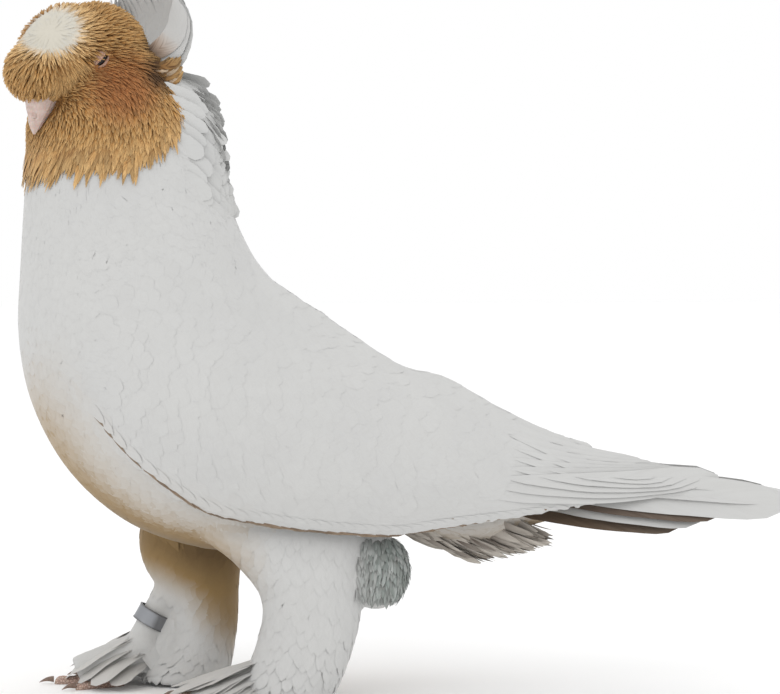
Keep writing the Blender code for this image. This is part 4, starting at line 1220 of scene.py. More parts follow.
        # Feathers are short round the eye and the bill, and grow down the neck and in the blaze.
        size = 0.5 + 0.3 * marks["pale"] + 0.25 * rise(6, 22, far_eye)
        size = size + 0.35 * (1 - rise(11.2, 13.2, at)) + 0.1 * rise(8, 30, far_bill)
        puff = 1 + self.crown_puff * above
        shares = {
            "coat_head": (body & hooded) * open_face,
            "coat_body": ((plain & (at < 13.2)) | (kind == Region.RUMP.value) | feet) + 0.0,
            "size": size,
            "puff": puff * (1 - 0.85 * marks["pale"]) * (1 - 0.5 * rise(-24, -36, head[:, 2])),
            "tone": np.full(len(places), 0.5),
        }
        shares["coat_body"] *= (places[:, 2] > 4) * (far_band > 8.6)
        for word, values in {**marks, **shares}.items():
            store(skin.data, word, values)
        lain = skin.data.attributes.new("lie", "FLOAT_VECTOR", "POINT")
        lain.data.foreach_set("vector", lie.astype(np.float32).ravel())

    def read_back(self, skin: bpy.types.Object) -> None:
        """Keeps the skin's surface and unwrap for the feathers that are laid on it."""
        data = skin.data
        places = read(data.vertices, "co", 3) / MM - self.bench.shift
        corners = read(data.loops, "vertex_index", 1, np.int32)[:, 0]
        self.unwrapped = np.zeros((len(places), 2), np.float32)
        self.unwrapped[corners] = read(data.uv_layers[BAKE_MAP].data, "uv", 2, np.float32)
        faces = [tuple(face.vertices) for face in data.polygons]
        self.corners = [face[0] for face in faces]
        self.surface = BVHTree.FromPolygons([Vector(place) for place in places], faces)

    def root_spots(self, roots: np.ndarray) -> np.ndarray:
        """The place on the skin's unwrap nearest to each root."""
        found = [self.surface.find_nearest(Vector(root))[2] for root in roots]
        return self.unwrapped[[self.corners[number] for number in found]]

    def follow(
        self,
        starts: np.ndarray,
        ways: np.ndarray,
        lengths: np.ndarray,
        sink: float,
        lift: np.ndarray,
        steps: int,
        flick: float = 0.8,
    ) -> dict[str, np.ndarray | BVHTree]:
        """Paths that leave the skin at their roots, follow it and stand off it at their tips.

        Args:
            starts: The roots.
            ways: The direction of each path.
            lengths: The length of each.
            sink: How deep the roots lie.
            lift: How high each tip stands.
            steps: The number of stations along a path.
            flick: The power of the rise along a path; above 1 the tip flicks off the skin.

        Returns:
            What Vanes needs: stations, directions out of the skin, heights over it and its surface.
        """
        centre = np.zeros((len(starts), steps, 3))
        out = np.zeros_like(centre)
        heights = -sink + (sink + np.asarray(lift)[:, None]) * np.linspace(0, 1, steps) ** flick
        for number in range(len(starts)):
            point, way = Vector(starts[number]), Vector(ways[number]).normalized()
            for step in range(steps):
                near, facing, _, _ = self.surface.find_nearest(point)
                centre[number, step] = near + facing * heights[number, step]
                out[number, step] = facing
                way = (way - facing * way.dot(facing)).normalized()
                point = near + way * (lengths[number] / (steps - 1))
        return {"centre": centre, "out": out, "heights": heights, "surface": self.surface}


@dataclass
class Vanes:
    """Many closed thin vanes of one build, each along its own path."""

    centre: np.ndarray
    out: np.ndarray
    half: np.ndarray
    cut: Cut = Cut.VANE
    outline: Outline = Outline.PLUME
    thick: float = 0.28
    camber: float = 0.12
    ragged: float = 0.0
    roll: float = 0.0
    # Where the vanes hug a surface, that surface and the height of each station over it.
    surface: BVHTree | None = None
    heights: np.ndarray | None = None

    @property
    def run(self) -> np.ndarray:
        """Each station's share of the way from root to tip, by vanes and stations."""
        count, steps = self.centre.shape[:2]
        return np.broadcast_to(np.linspace(0, 1, steps), (count, steps))

    def swell(self) -> np.ndarray:
        """The height of each point of a cross-section over its middle, by stations and points."""
        share = np.linspace(0, 1, self.centre.shape[1])
        thin = self.thick * (1 - 0.7 * share)
        return np.array(self.cut.value)[:, 1][None] * thin[:, None]

    def points(self, draw: np.random.Generator) -> np.ndarray:
        """The points of all vanes, by vanes, stations and points round each cross-section."""
        count, steps = self.centre.shape[:2]
        share = np.linspace(0, 1, steps)
        section = np.array(self.cut.value)
        ahead = unit(np.gradient(self.centre, axis=1))
        across = unit(np.cross(self.out, ahead))
        up = np.cross(ahead, across)
        roll = np.radians(draw.normal(0, 1, count) * self.roll)[:, None, None]
        across, up = across * np.cos(roll) + up * np.sin(roll), up * np.cos(roll) - across * np.sin(roll)
        width = self.half[:, None] * self.outline.widths(share)
        width = width * (1 + self.ragged * draw.normal(0, 1, width.shape) * np.sin(share * math.pi))
        side = section[:, 0][None, None, :, None] * width[:, :, None, None]
        high = self.swell()[None, :, :, None]
        bow = -self.camber * (section[:, 0] ** 2)[None, None, :, None] * width[:, :, None, None]
        if self.surface is None:
            return self.centre[:, :, None] + across[:, :, None] * side + up[:, :, None] * (high + bow)
        flat = (self.centre[:, :, None] + across[:, :, None] * side).reshape(-1, 3)
        stand = (self.heights[:, :, None] + high[..., 0] + bow[..., 0]).reshape(-1)
        for number, (spot, height) in enumerate(zip(flat, stand)):
            near, facing, _, _ = self.surface.find_nearest(Vector(spot))
            flat[number] = near + facing * height
        return flat.reshape(count, steps, len(section), 3)

    def build(
        self, name: str, bench: Bench, draw: np.random.Generator, own_place: bool = True
    ) -> bpy.types.Object:
        """Makes the mesh with its map along and across each vane.

        Args:
            name: The object's name.
            bench: The workbench.
            draw: The source of chance.
            own_place: Whether the paths lie in the bird's drawing.

        Returns:
            The new object.
        """
        count, steps = self.centre.shape[:2]
        around = len(self.cut.value)
        ring = np.arange(around)
        start = (np.arange(count)[:, None] * steps + np.arange(steps - 1))[..., None] * around
        turned = (ring + 1) % around
        quads = np.stack((start + ring, start + turned, start + around + turned, start + around + ring), -1)
        first = np.arange(count)[:, None] * steps * around
        caps = np.concatenate((first + ring[::-1], first + (steps - 1) * around + ring))
        made = bench.mesh(name, self.points(draw).reshape(-1, 3), [quads.reshape(-1, 4), caps], own_place)
        across = np.array(self.cut.value)[:, 0] / 2 + 0.5
        flat = np.stack(np.broadcast_arrays(across[None, None], np.linspace(0, 1, steps)[None, :, None]), -1)
        flat = np.broadcast_to(flat, (count, steps, around, 2)).reshape(-1, 2)
        corners = read(made.data.loops, "vertex_index", 1, np.int32)[:, 0]
        made.data.uv_layers.new(name=VANE_MAP).data.foreach_set("uv", flat[corners].astype(np.float32).ravel())
        return made

    def dress(
        self, name: str, bench: Bench, skin: Skin, draw: np.random.Generator, own: dict[
            str, np.ndarray | float
        ],
        jitter: float,
    ) -> bpy.types.Object:
        """Makes the mesh and gives it the skin's marks at its own places.

        Args:
            name: The object's name.
            bench: The workbench.
            skin: The skin that carries the vanes.
            draw: The source of chance.
            own: Marks, by vanes and stations or one for all, that take the place of the skin's.
            jitter: How far the brown's border shifts from vane to vane, in sections.

        Returns:
            The new object, still without a material.
        """
        made = self.build(name, bench, draw)
        count, steps = self.centre.shape[:2]
        around = len(self.cut.value)
        shift = np.repeat(draw.normal(0, jitter, count), steps)
        marks = skin.markings.marks(self.centre.reshape(-1, 3), shift)
        marks = {word: values.reshape(count, steps) for word, values in marks.items()}
        marks.update(own)
        marks["tone"] = np.repeat(draw.uniform(0, 1, count)[:, None], steps, 1)
        for word, values in marks.items():
            store(made.data, word, np.repeat(np.broadcast_to(values, (count, steps)).reshape(-1), around))
        spots = skin.root_spots(self.centre[:, 0])
        vane = read(made.data.uv_layers[VANE_MAP].data, "uv", 2, np.float32)
        corners = read(made.data.loops, "vertex_index", 1, np.int32)[:, 0]
        patch = spots[corners // (steps * around)] + (vane - 0.5) * TUFT_PATCH
        made.data.uv_layers.new(name=BAKE_MAP).data.foreach_set("uv", patch.astype(np.float32).ravel())
        return made


def bend(roots: np.ndarray, knees: np.ndarray, tips: np.ndarray, steps: int) -> np.ndarray:
    """Smooth paths through three guide points each.

    Args:
        roots: Where they start.
        knees: The points that they lean towards.
        tips: Where they end.
        steps: The number of stations.

    Returns:
        The stations by paths.
    """
    share = np.linspace(0, 1, steps)[None, :, None]
    rest = 1 - share
    return roots[:, None] * rest**2 + knees[:, None] * 2 * share * rest + tips[:, None] * share**2


@dataclass
class Coat:
    """A coat of small feathers that grows all over one part of the skin, laid by Geometry Nodes."""

    name: str
    mask: str
    spacing: float
    length: float
    half_width: float
    steps: int
    cut: Cut
    outline: Outline
    thick: float
    lift: float
    swing: float
    seed: int
    pieces: int
    sink: float = 0.35

    def pattern(self, bench: Bench) -> bpy.types.Object:
        """The feather that is repeated, flat along +X, with each point's height over the skin."""
        share = np.linspace(0, 1, self.steps)
        centre = np.stack((share * self.length, 0 * share, 0 * share), -1)[None]
        out = np.broadcast_to((0.0, 0.0, 1.0), centre.shape)
        vane = Vanes(centre, out, np.array((self.half_width,)), self.cut, self.outline, self.thick, 0.0)
        made = vane.build(self.name + "_pattern", bench, np.random.default_rng(self.seed), own_place=False)
        stand = (-self.sink + (self.lift + self.sink) * share**0.8)[:, None] + vane.swell()
        store(made.data, "stand", stand * MM)
        return made

    def tree(self, pattern: bpy.types.Object, finish: bpy.types.Material) -> bpy.types.NodeTree:
        """The node tree that strews the pattern over the skin along the lie and lays each vane close.

        Args:
            pattern: The feather that is repeated.
            finish: The coat's material.

        Returns:
            The tree, with the spacing, the swing and the seed as its inputs.
        """
        tree = bpy.data.node_groups.new(self.name, "GeometryNodeTree")
        face = tree.interface
        face.new_socket("Skin", in_out="INPUT", socket_type="NodeSocketGeometry")
        for word in ("Spacing", "Swing"):
            face.new_socket(word, in_out="INPUT", socket_type="NodeSocketFloat")
        face.new_socket("Seed", in_out="INPUT", socket_type="NodeSocketInt")
        face.new_socket("Coat", in_out="OUTPUT", socket_type="NodeSocketGeometry")
        given = add_node(tree, "NodeGroupInput").outputs
        kinds = {"lie": "FLOAT_VECTOR", BAKE_MAP: "FLOAT_VECTOR", VANE_MAP: "FLOAT_VECTOR"}
        read = {
            word: add_node(
                tree, "GeometryNodeInputNamedAttribute", {"data_type": kinds.get(word, "FLOAT")}, {
                    "Name": word
                }
            ).outputs["Attribute"]
            for word in (self.mask, "lie", "size", "stand", "puff", "tone", BAKE_MAP, VANE_MAP)
        }
        strew = {
            "Mesh": given["Skin"],
            "Distance Min": given["Spacing"],
            "Density Max": 4.0 / (self.spacing * MM) ** 2,
            "Density Factor": read[self.mask],
            "Seed": given["Seed"],
        }
        points = add_node(tree, "GeometryNodeDistributePointsOnFaces", {"distribute_method": "POISSON"}, strew)
        chance = add_node(tree, "FunctionNodeRandomValue", {"data_type": "FLOAT"}, {"Seed": given["Seed"]})
        toned = add_node(
            tree,
            "GeometryNodeStoreNamedAttribute",
            {"data_type": "FLOAT", "domain": "POINT"},
            {"Geometry": points.outputs["Points"], "Name": "tone", "Value": chance.outputs[1]},
        )
        laid = add_node(
            tree,
            "FunctionNodeAxesToRotation",
            {"primary_axis": "Z", "secondary_axis": "X"},
            {"Primary Axis": points.outputs["Normal"], "Secondary Axis": read["lie"]},
        )
        sway = add_node(tree, "ShaderNodeCombineXYZ", None, {2: given["Swing"]}).outputs[0]
        back = add_node(
            tree, "ShaderNodeVectorMath", {"operation": "SCALE"}, {0: sway, "Scale": -1.0}
        ).outputs[0]
        ends = {"Min": back, "Max": sway, "Seed": given["Seed"]}
        stray = add_node(tree, "FunctionNodeRandomValue", {"data_type": "FLOAT_VECTOR"}, ends)
        ends = {"Rotation": laid.outputs[0], "Rotate By": stray.outputs[0]}
        turned = add_node(tree, "FunctionNodeRotateRotation", {"rotation_space": "LOCAL"}, ends)
        ends = {2: 0.82, 3: 1.15, "Seed": given["Seed"]}
        growth = add_node(tree, "FunctionNodeRandomValue", {"data_type": "FLOAT"}, ends).outputs[1]
        whole = add_node(tree, "ShaderNodeMath", TIMES, {0: growth, 1: read["size"]})
        source = add_node(tree, "GeometryNodeObjectInfo", None, {"Object": pattern}).outputs["Geometry"]
        placing = {
            "Points": toned.outputs["Geometry"],
            "Instance": source,
            "Rotation": turned.outputs[0],
            "Scale": whole.outputs[0],
        }
        strewn = add_node(tree, "GeometryNodeInstanceOnPoints", None, placing)
        solid = add_node(tree, "GeometryNodeRealizeInstances", None, {0: strewn.outputs[0]})
        near = add_node(tree, "GeometryNodeProximity", {"target_element": "FACES"}, {0: given["Skin"]})
        normal = add_node(tree, "GeometryNodeInputNormal").outputs[0]
        facing = add_node(
            tree,
            "GeometryNodeSampleNearestSurface",
            {"data_type": "FLOAT_VECTOR"},
            {"Mesh": given["Skin"], "Value": normal},
        )
        uneven = add_node(tree, "ShaderNodeMath", TIMES_PLUS, {0: read["tone"], 1: 0.5, 2: 0.75})
        puffed = add_node(tree, "ShaderNodeMath", TIMES, {0: uneven.outputs[0], 1: read["puff"]})
        height = add_node(tree, "ShaderNodeMath", TIMES, {0: puffed.outputs[0], 1: read["stand"]})
        over = {0: facing.outputs[0], 1: height.outputs[0], 2: near.outputs[0]}
        hugged = add_node(tree, "ShaderNodeVectorMath", TIMES_PLUS, over)
        ends = {"Geometry": solid.outputs[0], "Position": hugged.outputs[0]}
        placed = add_node(tree, "GeometryNodeSetPosition", None, ends)
        ends = {0: read[VANE_MAP], 1: (0.5, 0.5, 0.0)}
        centred = add_node(tree, "ShaderNodeVectorMath", {"operation": "SUBTRACT"}, ends)
        ends = {0: centred.outputs[0], 1: (TUFT_PATCH, TUFT_PATCH, 0.0), 2: read[BAKE_MAP]}
        patch = add_node(tree, "ShaderNodeVectorMath", TIMES_PLUS, ends)
        mapped = add_node(
            tree,
            "GeometryNodeStoreNamedAttribute",
            {"data_type": "FLOAT2", "domain": "CORNER"},
            {"Geometry": placed.outputs[0], "Name": BAKE_MAP, "Value": patch.outputs[0]},
        )
        dressed = add_node(
            tree, "GeometryNodeSetMaterial", None, {"Geometry": mapped.outputs[0], "Material": finish}
        )
        add_node(tree, "NodeGroupOutput", None, {0: dressed.outputs[0]})
        return tree

    def build(self, bench: Bench, skin: bpy.types.Object, finish: bpy.types.Material, slot: str) -> None:
        """Grows the coat on the skin and cuts it into pieces of a fair size.

        Args:
            bench: The workbench.
            skin: The finished skin.
            finish: The coat's material.
            slot: The name of a material slot, passed on to the bench, which does not use it.
        """
        pattern = self.pattern(bench)
        tree = self.tree(pattern, finish)
        values = {"Spacing": self.spacing * MM, "Swing": math.radians(self.swing), "Seed": self.seed}
        sockets = {item.name: item.identifier for item in tree.interface.items_tree if item.in_out == "INPUT"}
        carrier = in_scene(self.name, skin.data.copy())
        grow = carrier.modifiers.new("grow", "NODES")
        grow.node_group = tree
        for word, value in values.items():
            grow[sockets[word]] = value
        bench.applied(carrier)
        bpy.data.objects.remove(pattern)
        self.hand_in(bench, carrier, finish, slot)

    def hand_in(self, bench: Bench, coat: bpy.types.Object, finish: bpy.types.Material, slot: str) -> None:
        """Cuts a coat into even pieces by its feathers' order, and hands each in."""
        per_vane = self.steps * len(self.cut.value)
        total = len(coat.data.vertices) // per_vane
        log.info("%s: %d feathers", self.name, total)
        for number in range(self.pieces):
            piece = coat.copy()
            piece.data = coat.data.copy()
            piece.name = f"{self.name}_{number + 1}"
            bpy.context.scene.collection.objects.link(piece)
            first, last = (total * (number + more) // self.pieces * per_vane for more in (0, 1))
            body = bmesh.new()
            body.from_mesh(piece.data)
            drop = [vert for vert in body.verts if not first <= vert.index < last]
            bmesh.ops.delete(body, geom=drop, context="VERTS")
            body.to_mesh(piece.data)
            body.free()
            bench.done(piece, finish, slot)
        bpy.data.objects.remove(coat)


@dataclass
class Dresser:
    """What every feathered sub-assembly needs: the bench, the form, the skin, a finish and a seed."""

    bench: Bench
    form: Form
    skin: Skin
    finish: bpy.types.Material
    seed: int = 5

    def draw(self, more: int = 0) -> np.random.Generator:
        """A fresh source of chance, the same on every run."""
        return np.random.default_rng(self.seed + more)

    def hand_in(
        self, vanes: Vanes, name: str, draw: np.random.Generator, slot: str = "white_feather",
        **own: np.ndarray | float,
    ) -> None:
        """Dresses vanes with their marks and hands the piece in."""
        made = vanes.dress(name, self.bench, self.skin, draw, own, 0.12)
        self.bench.done(made, self.finish, slot)


@dataclass
class Tuft(Dresser):
    """The forehead's tuft: locks that radiate from the blaze and hang over bill and brow."""

    middle: tuple[float, float] = (4.0, 0.0)
    locks: int = 2000
    half_width: float = 0.52
    eye_margin: float = 7.6
    steps: int = 8
    reach: tuple[float, float] = (7.0, 15.0)
    edge_turns: tuple[float, ...] = (-95, -88, -75, -60, -45, -25, 0, 25, 45, 60, 75, 88, 95)
    edge_heights: tuple[float, ...] = (2.5, 0, -4.8, -9.0, -13.2, -15.6, -17, -15.6, -13.2, -9.0, -4.8, 0, 2.5)

    def build(self) -> None:
        """Grows the locks from their roots towards the brow's free edge."""
        draw = self.draw()
        turn = draw.uniform(self.edge_turns[0], self.edge_turns[-1], self.locks)
        level = np.interp(turn, self.edge_turns, self.edge_heights)
        ends = []
        for angle, height in zip(np.radians(turn), level):
            way = np.array((math.cos(angle), math.sin(angle), 0.0))
            axis = np.array((*self.middle, height))
            start, stop = self.form.in_head(axis + way * 60), self.form.in_head(axis)
            hit = self.skin.surface.ray_cast(Vector(start), Vector(stop - start))[0]
            ends.append(np.array(hit) if hit is not None else stop + 0.35 * (start - stop))
        ends = np.array(ends)
        head = self.form.to_head(ends)
        both = one_sided(head)
        ends = ends[np.linalg.norm(both - self.skin.eye_place, axis=1) > self.eye_margin]
        count = len(ends)
        pole = self.form.in_head(np.array(self.skin.pole))
        ways = unit(ends - pole)
        lengths = np.minimum(draw.uniform(*self.reach, count), np.linalg.norm(ends - pole, axis=1) - 3.0)
        runs = lengths + draw.uniform(-2.5, 1.6, count)
        starts = ends - ways * lengths[:, None]
        path = self.skin.follow(starts, ways, runs, 0.6, draw.uniform(1.0, 2.6, count), self.steps)
        half = self.half_width * draw.uniform(0.7, 1.3, count)
        vanes = Vanes(
            **path, half=half, cut=Cut.OVAL, outline=Outline.LOCK, thick=0.26, camber=0.0, ragged=0.06
        )
        self.hand_in(vanes, "tuft", draw, "brown_feather", brown=1.0, pale=0.0)


@dataclass
class Crest(Dresser):
    """The shell crest behind the crown: upright feathers in three tight rows from ear to ear."""

    middle: tuple[float, float, float] = (-11.0, 0.0, 0.0)
    # Feathers, half angle, radius and height of the roots, radius and height of the tips, half width.
    rows: tuple[tuple[float, ...], ...] = (
        (30, 46, 20.0, -9.0, 36.0, 29.5, 6.2),
        (28, 46, 19.2, -4.0, 35.3, 31.0, 5.8),
        (28, 46, 18.4, 2.0, 34.6, 31.5, 5.4),
    )
    # Each feather leans on the next as tiles do; those at the ears turn their outer faces aside.
    shingle: float = 8.0
    flare: float = 62.0
    steps: int = 10

    def build(self) -> None:
        """Sets the rows from the outer to the inner one."""
        for number, (count, half_angle, root_out, root_up, tip_out, tip_up, half) in enumerate(self.rows):
            draw = self.draw(number)
            count = int(count)
            angle = np.radians(half_angle * np.linspace(-1, 1, count) + draw.uniform(-0.8, 0.8, count))
            back = np.stack((-np.cos(angle), np.sin(angle), 0 * angle), -1)
            aside = np.stack((np.sin(angle), np.cos(angle), 0 * angle), -1) * np.sign(angle)[:, None]
            centre = np.array(self.middle)
            up = np.array((0.0, 0.0, 1.0))
            height = (tip_up - 5 * np.sin(angle) ** 2 + draw.uniform(-2.2, 1.4, count))[:, None]
            roots = centre + back * root_out + up * root_up
            knees = centre + back * (tip_out + 5) + up * (root_up * 0.6 + height * 0.25)
            tips = centre + back * (tip_out - 1.5) + up * height
            path = self.form.in_head(bend(roots, knees, tips, self.steps))
            lean = np.radians(self.shingle + self.flare * rise(31, 46, np.degrees(np.abs(angle))))[:, None]
            facing = -back * np.cos(lean) + aside * np.sin(lean)
            out = self.form.in_head(facing) - self.form.in_head(np.zeros(3))
            out = np.broadcast_to(out[:, None], path.shape)
            vanes = Vanes(path, out, np.full(count, half), Cut.VANE, Outline.PLUME, 0.14, 0.04, 0.03)
            run = np.broadcast_to(np.linspace(0, 1, self.steps), (count, self.steps))
            near_ear = rise(12, 40, np.degrees(np.abs(angle)))[:, None]
            root = 1 - rise(0.1, 0.5, run)
            # Near the ears the inner row's roots are brown, and the dark mark paints the shadow in the crease
            # between the crest and the whorl.
            self.hand_in(
                vanes,
                f"crest_{number + 1}",
                draw,
                brown=0.8 * root * near_ear * (number == 2),
                pale=0 * run,
                cool=0.03 + 0 * run,
                dusk=0.35 * (1 - rise(0.05, 0.25, run)) * near_ear * (number == 2),
            )


@dataclass
class Whorls(Dresser):
    """The brown rosettes that sweep back and up below each ear."""

    root: tuple[float, float, float] = (-21.5, 19.0, -5.0)
    tip: tuple[float, float, float] = (-36.0, 27.0, -2.5)
    locks: int = 110
    half_width: float = 1.5
    steps: int = 9

    def build(self) -> None:
        """Sets both rosettes."""
        for side, sign in ((Side.LEFT, 1), (Side.RIGHT, -1)):
            draw = self.draw(sign)
            share = draw.uniform(-0.5, 0.5, self.locks)[:, None]
            layer = draw.uniform(-1, 1, self.locks)[:, None]
            flip = np.array((1, sign, 1))
            roots = (np.array(self.root) + np.array((2.0, 0.6, 13.0)) * share + (0, 1, 0) * layer * 0.7) * flip
            tips = (np.array(self.tip) + np.array((2.0, 1.5, 9.0)) * share + (0, 1, 0) * layer * 0.8) * flip
            tips = tips + (roots - tips) * draw.uniform(0, 0.4, (self.locks, 1))
            knees = (roots + tips) / 2 + np.array((1, 5.5 * sign, -7.5))
            path = self.form.in_head(bend(roots, knees, tips, self.steps))
            out = self.form.in_head(np.array((0, sign, 0.3))) - self.form.in_head(np.zeros(3))
            out = np.broadcast_to(out, path.shape)
            half = self.half_width * draw.uniform(0.7, 1.3, self.locks)
            vanes = Vanes(path, out, half, Cut.VANE, Outline.PLUME, 0.2, 0.12, 0.05, 8.0)
            run = np.broadcast_to(np.linspace(0, 1, self.steps), path.shape[:2])
            low = 1 - rise(-0.45, -0.2, share)
            # The locks are darker at random, darker towards their roots as painted shade where they overlap,
            # and the lowest ones darker towards their tips; a few are white.
            dark = draw.uniform(0.05, 0.6, (self.locks, 1)) + 0.5 * (1 - rise(0, 0.6, run)) + 0.3 * low * run
            white = 0.8 * (draw.uniform(0, 1, (self.locks, 1)) < 0.22) * run
            own = {"brown": 1 + 0 * run, "pale": white, "dusk": np.clip(dark, 0, 0.9) * (1 - white)}
            self.hand_in(vanes, f"whorl_{side.word}", draw, "brown_feather", **own)


@dataclass
class Mane(Dresser):
    """The mane down the hind neck: white plumes that flick off at their tips, less from row to row."""

    # Place along the tube, reach in degrees, length and how far the tips stand off.
    rows: tuple[tuple[float, ...], ...] = (
        (12.9, 62, 19, 11.0), (12.5, 62, 19, 10.0), (12.1, 62, 19, 9.0), (11.7, 60, 18, 8.0),
        (11.3, 60, 18, 7.0), (10.9, 58, 18, 6.0), (10.5, 56, 17, 5.0), (10.1, 54, 17, 4.0),
        (9.7, 50, 16, 3.0), (9.3, 46, 16, 2.0), (8.9, 40, 15, 1.0),
    )
    feathers: int = 15
    half_width: float = 4.0
    # The mane's side feathers sweep towards the hind neck by this angle and stand off by this share.
    sweep: float = 42.0
    side_lift: float = 0.4
    turn: float = 0.9
    steps: int = 10

    def build(self) -> None:
        """Sets the rows from the crest down."""
        draw = self.draw()
        starts, ways, lengths, lifts = [], [], [], []
        for at, spread, length, lift in self.rows:
            share = np.linspace(-1, 1, self.feathers) + draw.uniform(-0.05, 0.05, self.feathers)
            angle = np.radians(spread * share)
            here = self.form.tube(np.full(len(angle), at), angle)
            down = unit(self.form.tube(np.full(len(angle), at - 0.6), angle) - here)
            side = unit(self.form.tube(np.full(len(angle), at), angle + 0.05) - here)
            turn = np.radians(self.sweep * rise(0.05, 0.8, np.abs(share)))[:, None]
            starts.append(here)
            ways.append(down * np.cos(turn) - side * np.sign(angle)[:, None] * np.sin(turn))
            lengths.append(length * draw.uniform(0.85, 1.1, len(angle)))
            flat = 1 - (1 - self.side_lift) * rise(0.1, 0.95, np.abs(share))
            lifts.append(lift * flat * draw.uniform(0.7, 1.15, len(angle)))
        starts, ways, lengths, lifts = (np.concatenate(group) for group in (starts, ways, lengths, lifts))
        path = self.skin.follow(starts, ways, lengths, 0.5, lifts, self.steps, 1.5)
        half = self.half_width * draw.uniform(0.8, 1.15, len(starts))
        # The plumes beside the ridge turn their faces aside.
        side = np.where(
            np.abs(starts[:, 1:2]) < 5, draw.choice((-1, 1), (len(starts), 1)), np.sign(starts[:, 1:2])
        )
        aside = side * (0, self.turn, 0)
        path = {"centre": path["centre"], "out": unit(path["out"] + aside[:, None])}
        vanes = Vanes(**path, half=half, outline=Outline.FEATHER, thick=0.12, camber=0.05, ragged=0.04)
        # The dark mark paints a little shade at the plumes' roots, in the gaps between them.
        dark = 0.06 * (1 - rise(0, 0.5, vanes.run))
        self.hand_in(vanes, "mane", draw, brown=0.0, pale=0.0, cool=0.03, dusk=dark)


@dataclass
class Fringe(Dresser):
    """The hood's ragged lower edge: long pointed brown locks that hang over the white neck."""

    locks: int = 260
    # The nearest and the farthest angle from the hind neck, in degrees.
    angles: tuple[float, float] = (58.0, 180.0)
    above: tuple[float, float] = (0.1, 0.7)
    length: tuple[float, float] = (10.0, 18.0)
    half_width: float = 1.4
    steps: int = 8

    def build(self) -> None:
        """Hangs the locks from just above the brown's border."""
        draw = self.draw()
        angle = np.radians(draw.uniform(*self.angles, self.locks)) * np.sign(draw.uniform(-1, 1, self.locks))
        markings = self.skin.markings
        border = np.interp(np.degrees(np.abs(angle)), markings.border_angles, markings.border_places)
        at = border + draw.uniform(*self.above, self.locks)
        starts = self.form.tube(at, angle)
        ways = unit(self.form.tube(at - 0.5, angle) - starts) + draw.normal(0, 0.12, (self.locks, 3))
        lengths = draw.uniform(*self.length, self.locks)
        path = self.skin.follow(starts, ways, lengths, 0.5, draw.uniform(0.8, 1.7, self.locks), self.steps)
        half = self.half_width * draw.uniform(0.6, 1.3, self.locks)
        vanes = Vanes(
            **path, half=half, cut=Cut.OVAL, outline=Outline.LOCK, thick=0.3, camber=0.0, ragged=0.06
        )
        gold = 0.1 + 0.25 * vanes.run
        self.hand_in(vanes, "fringe", draw, "brown_feather", brown=1.0, pale=0.0, warm=0.0, gold=gold)


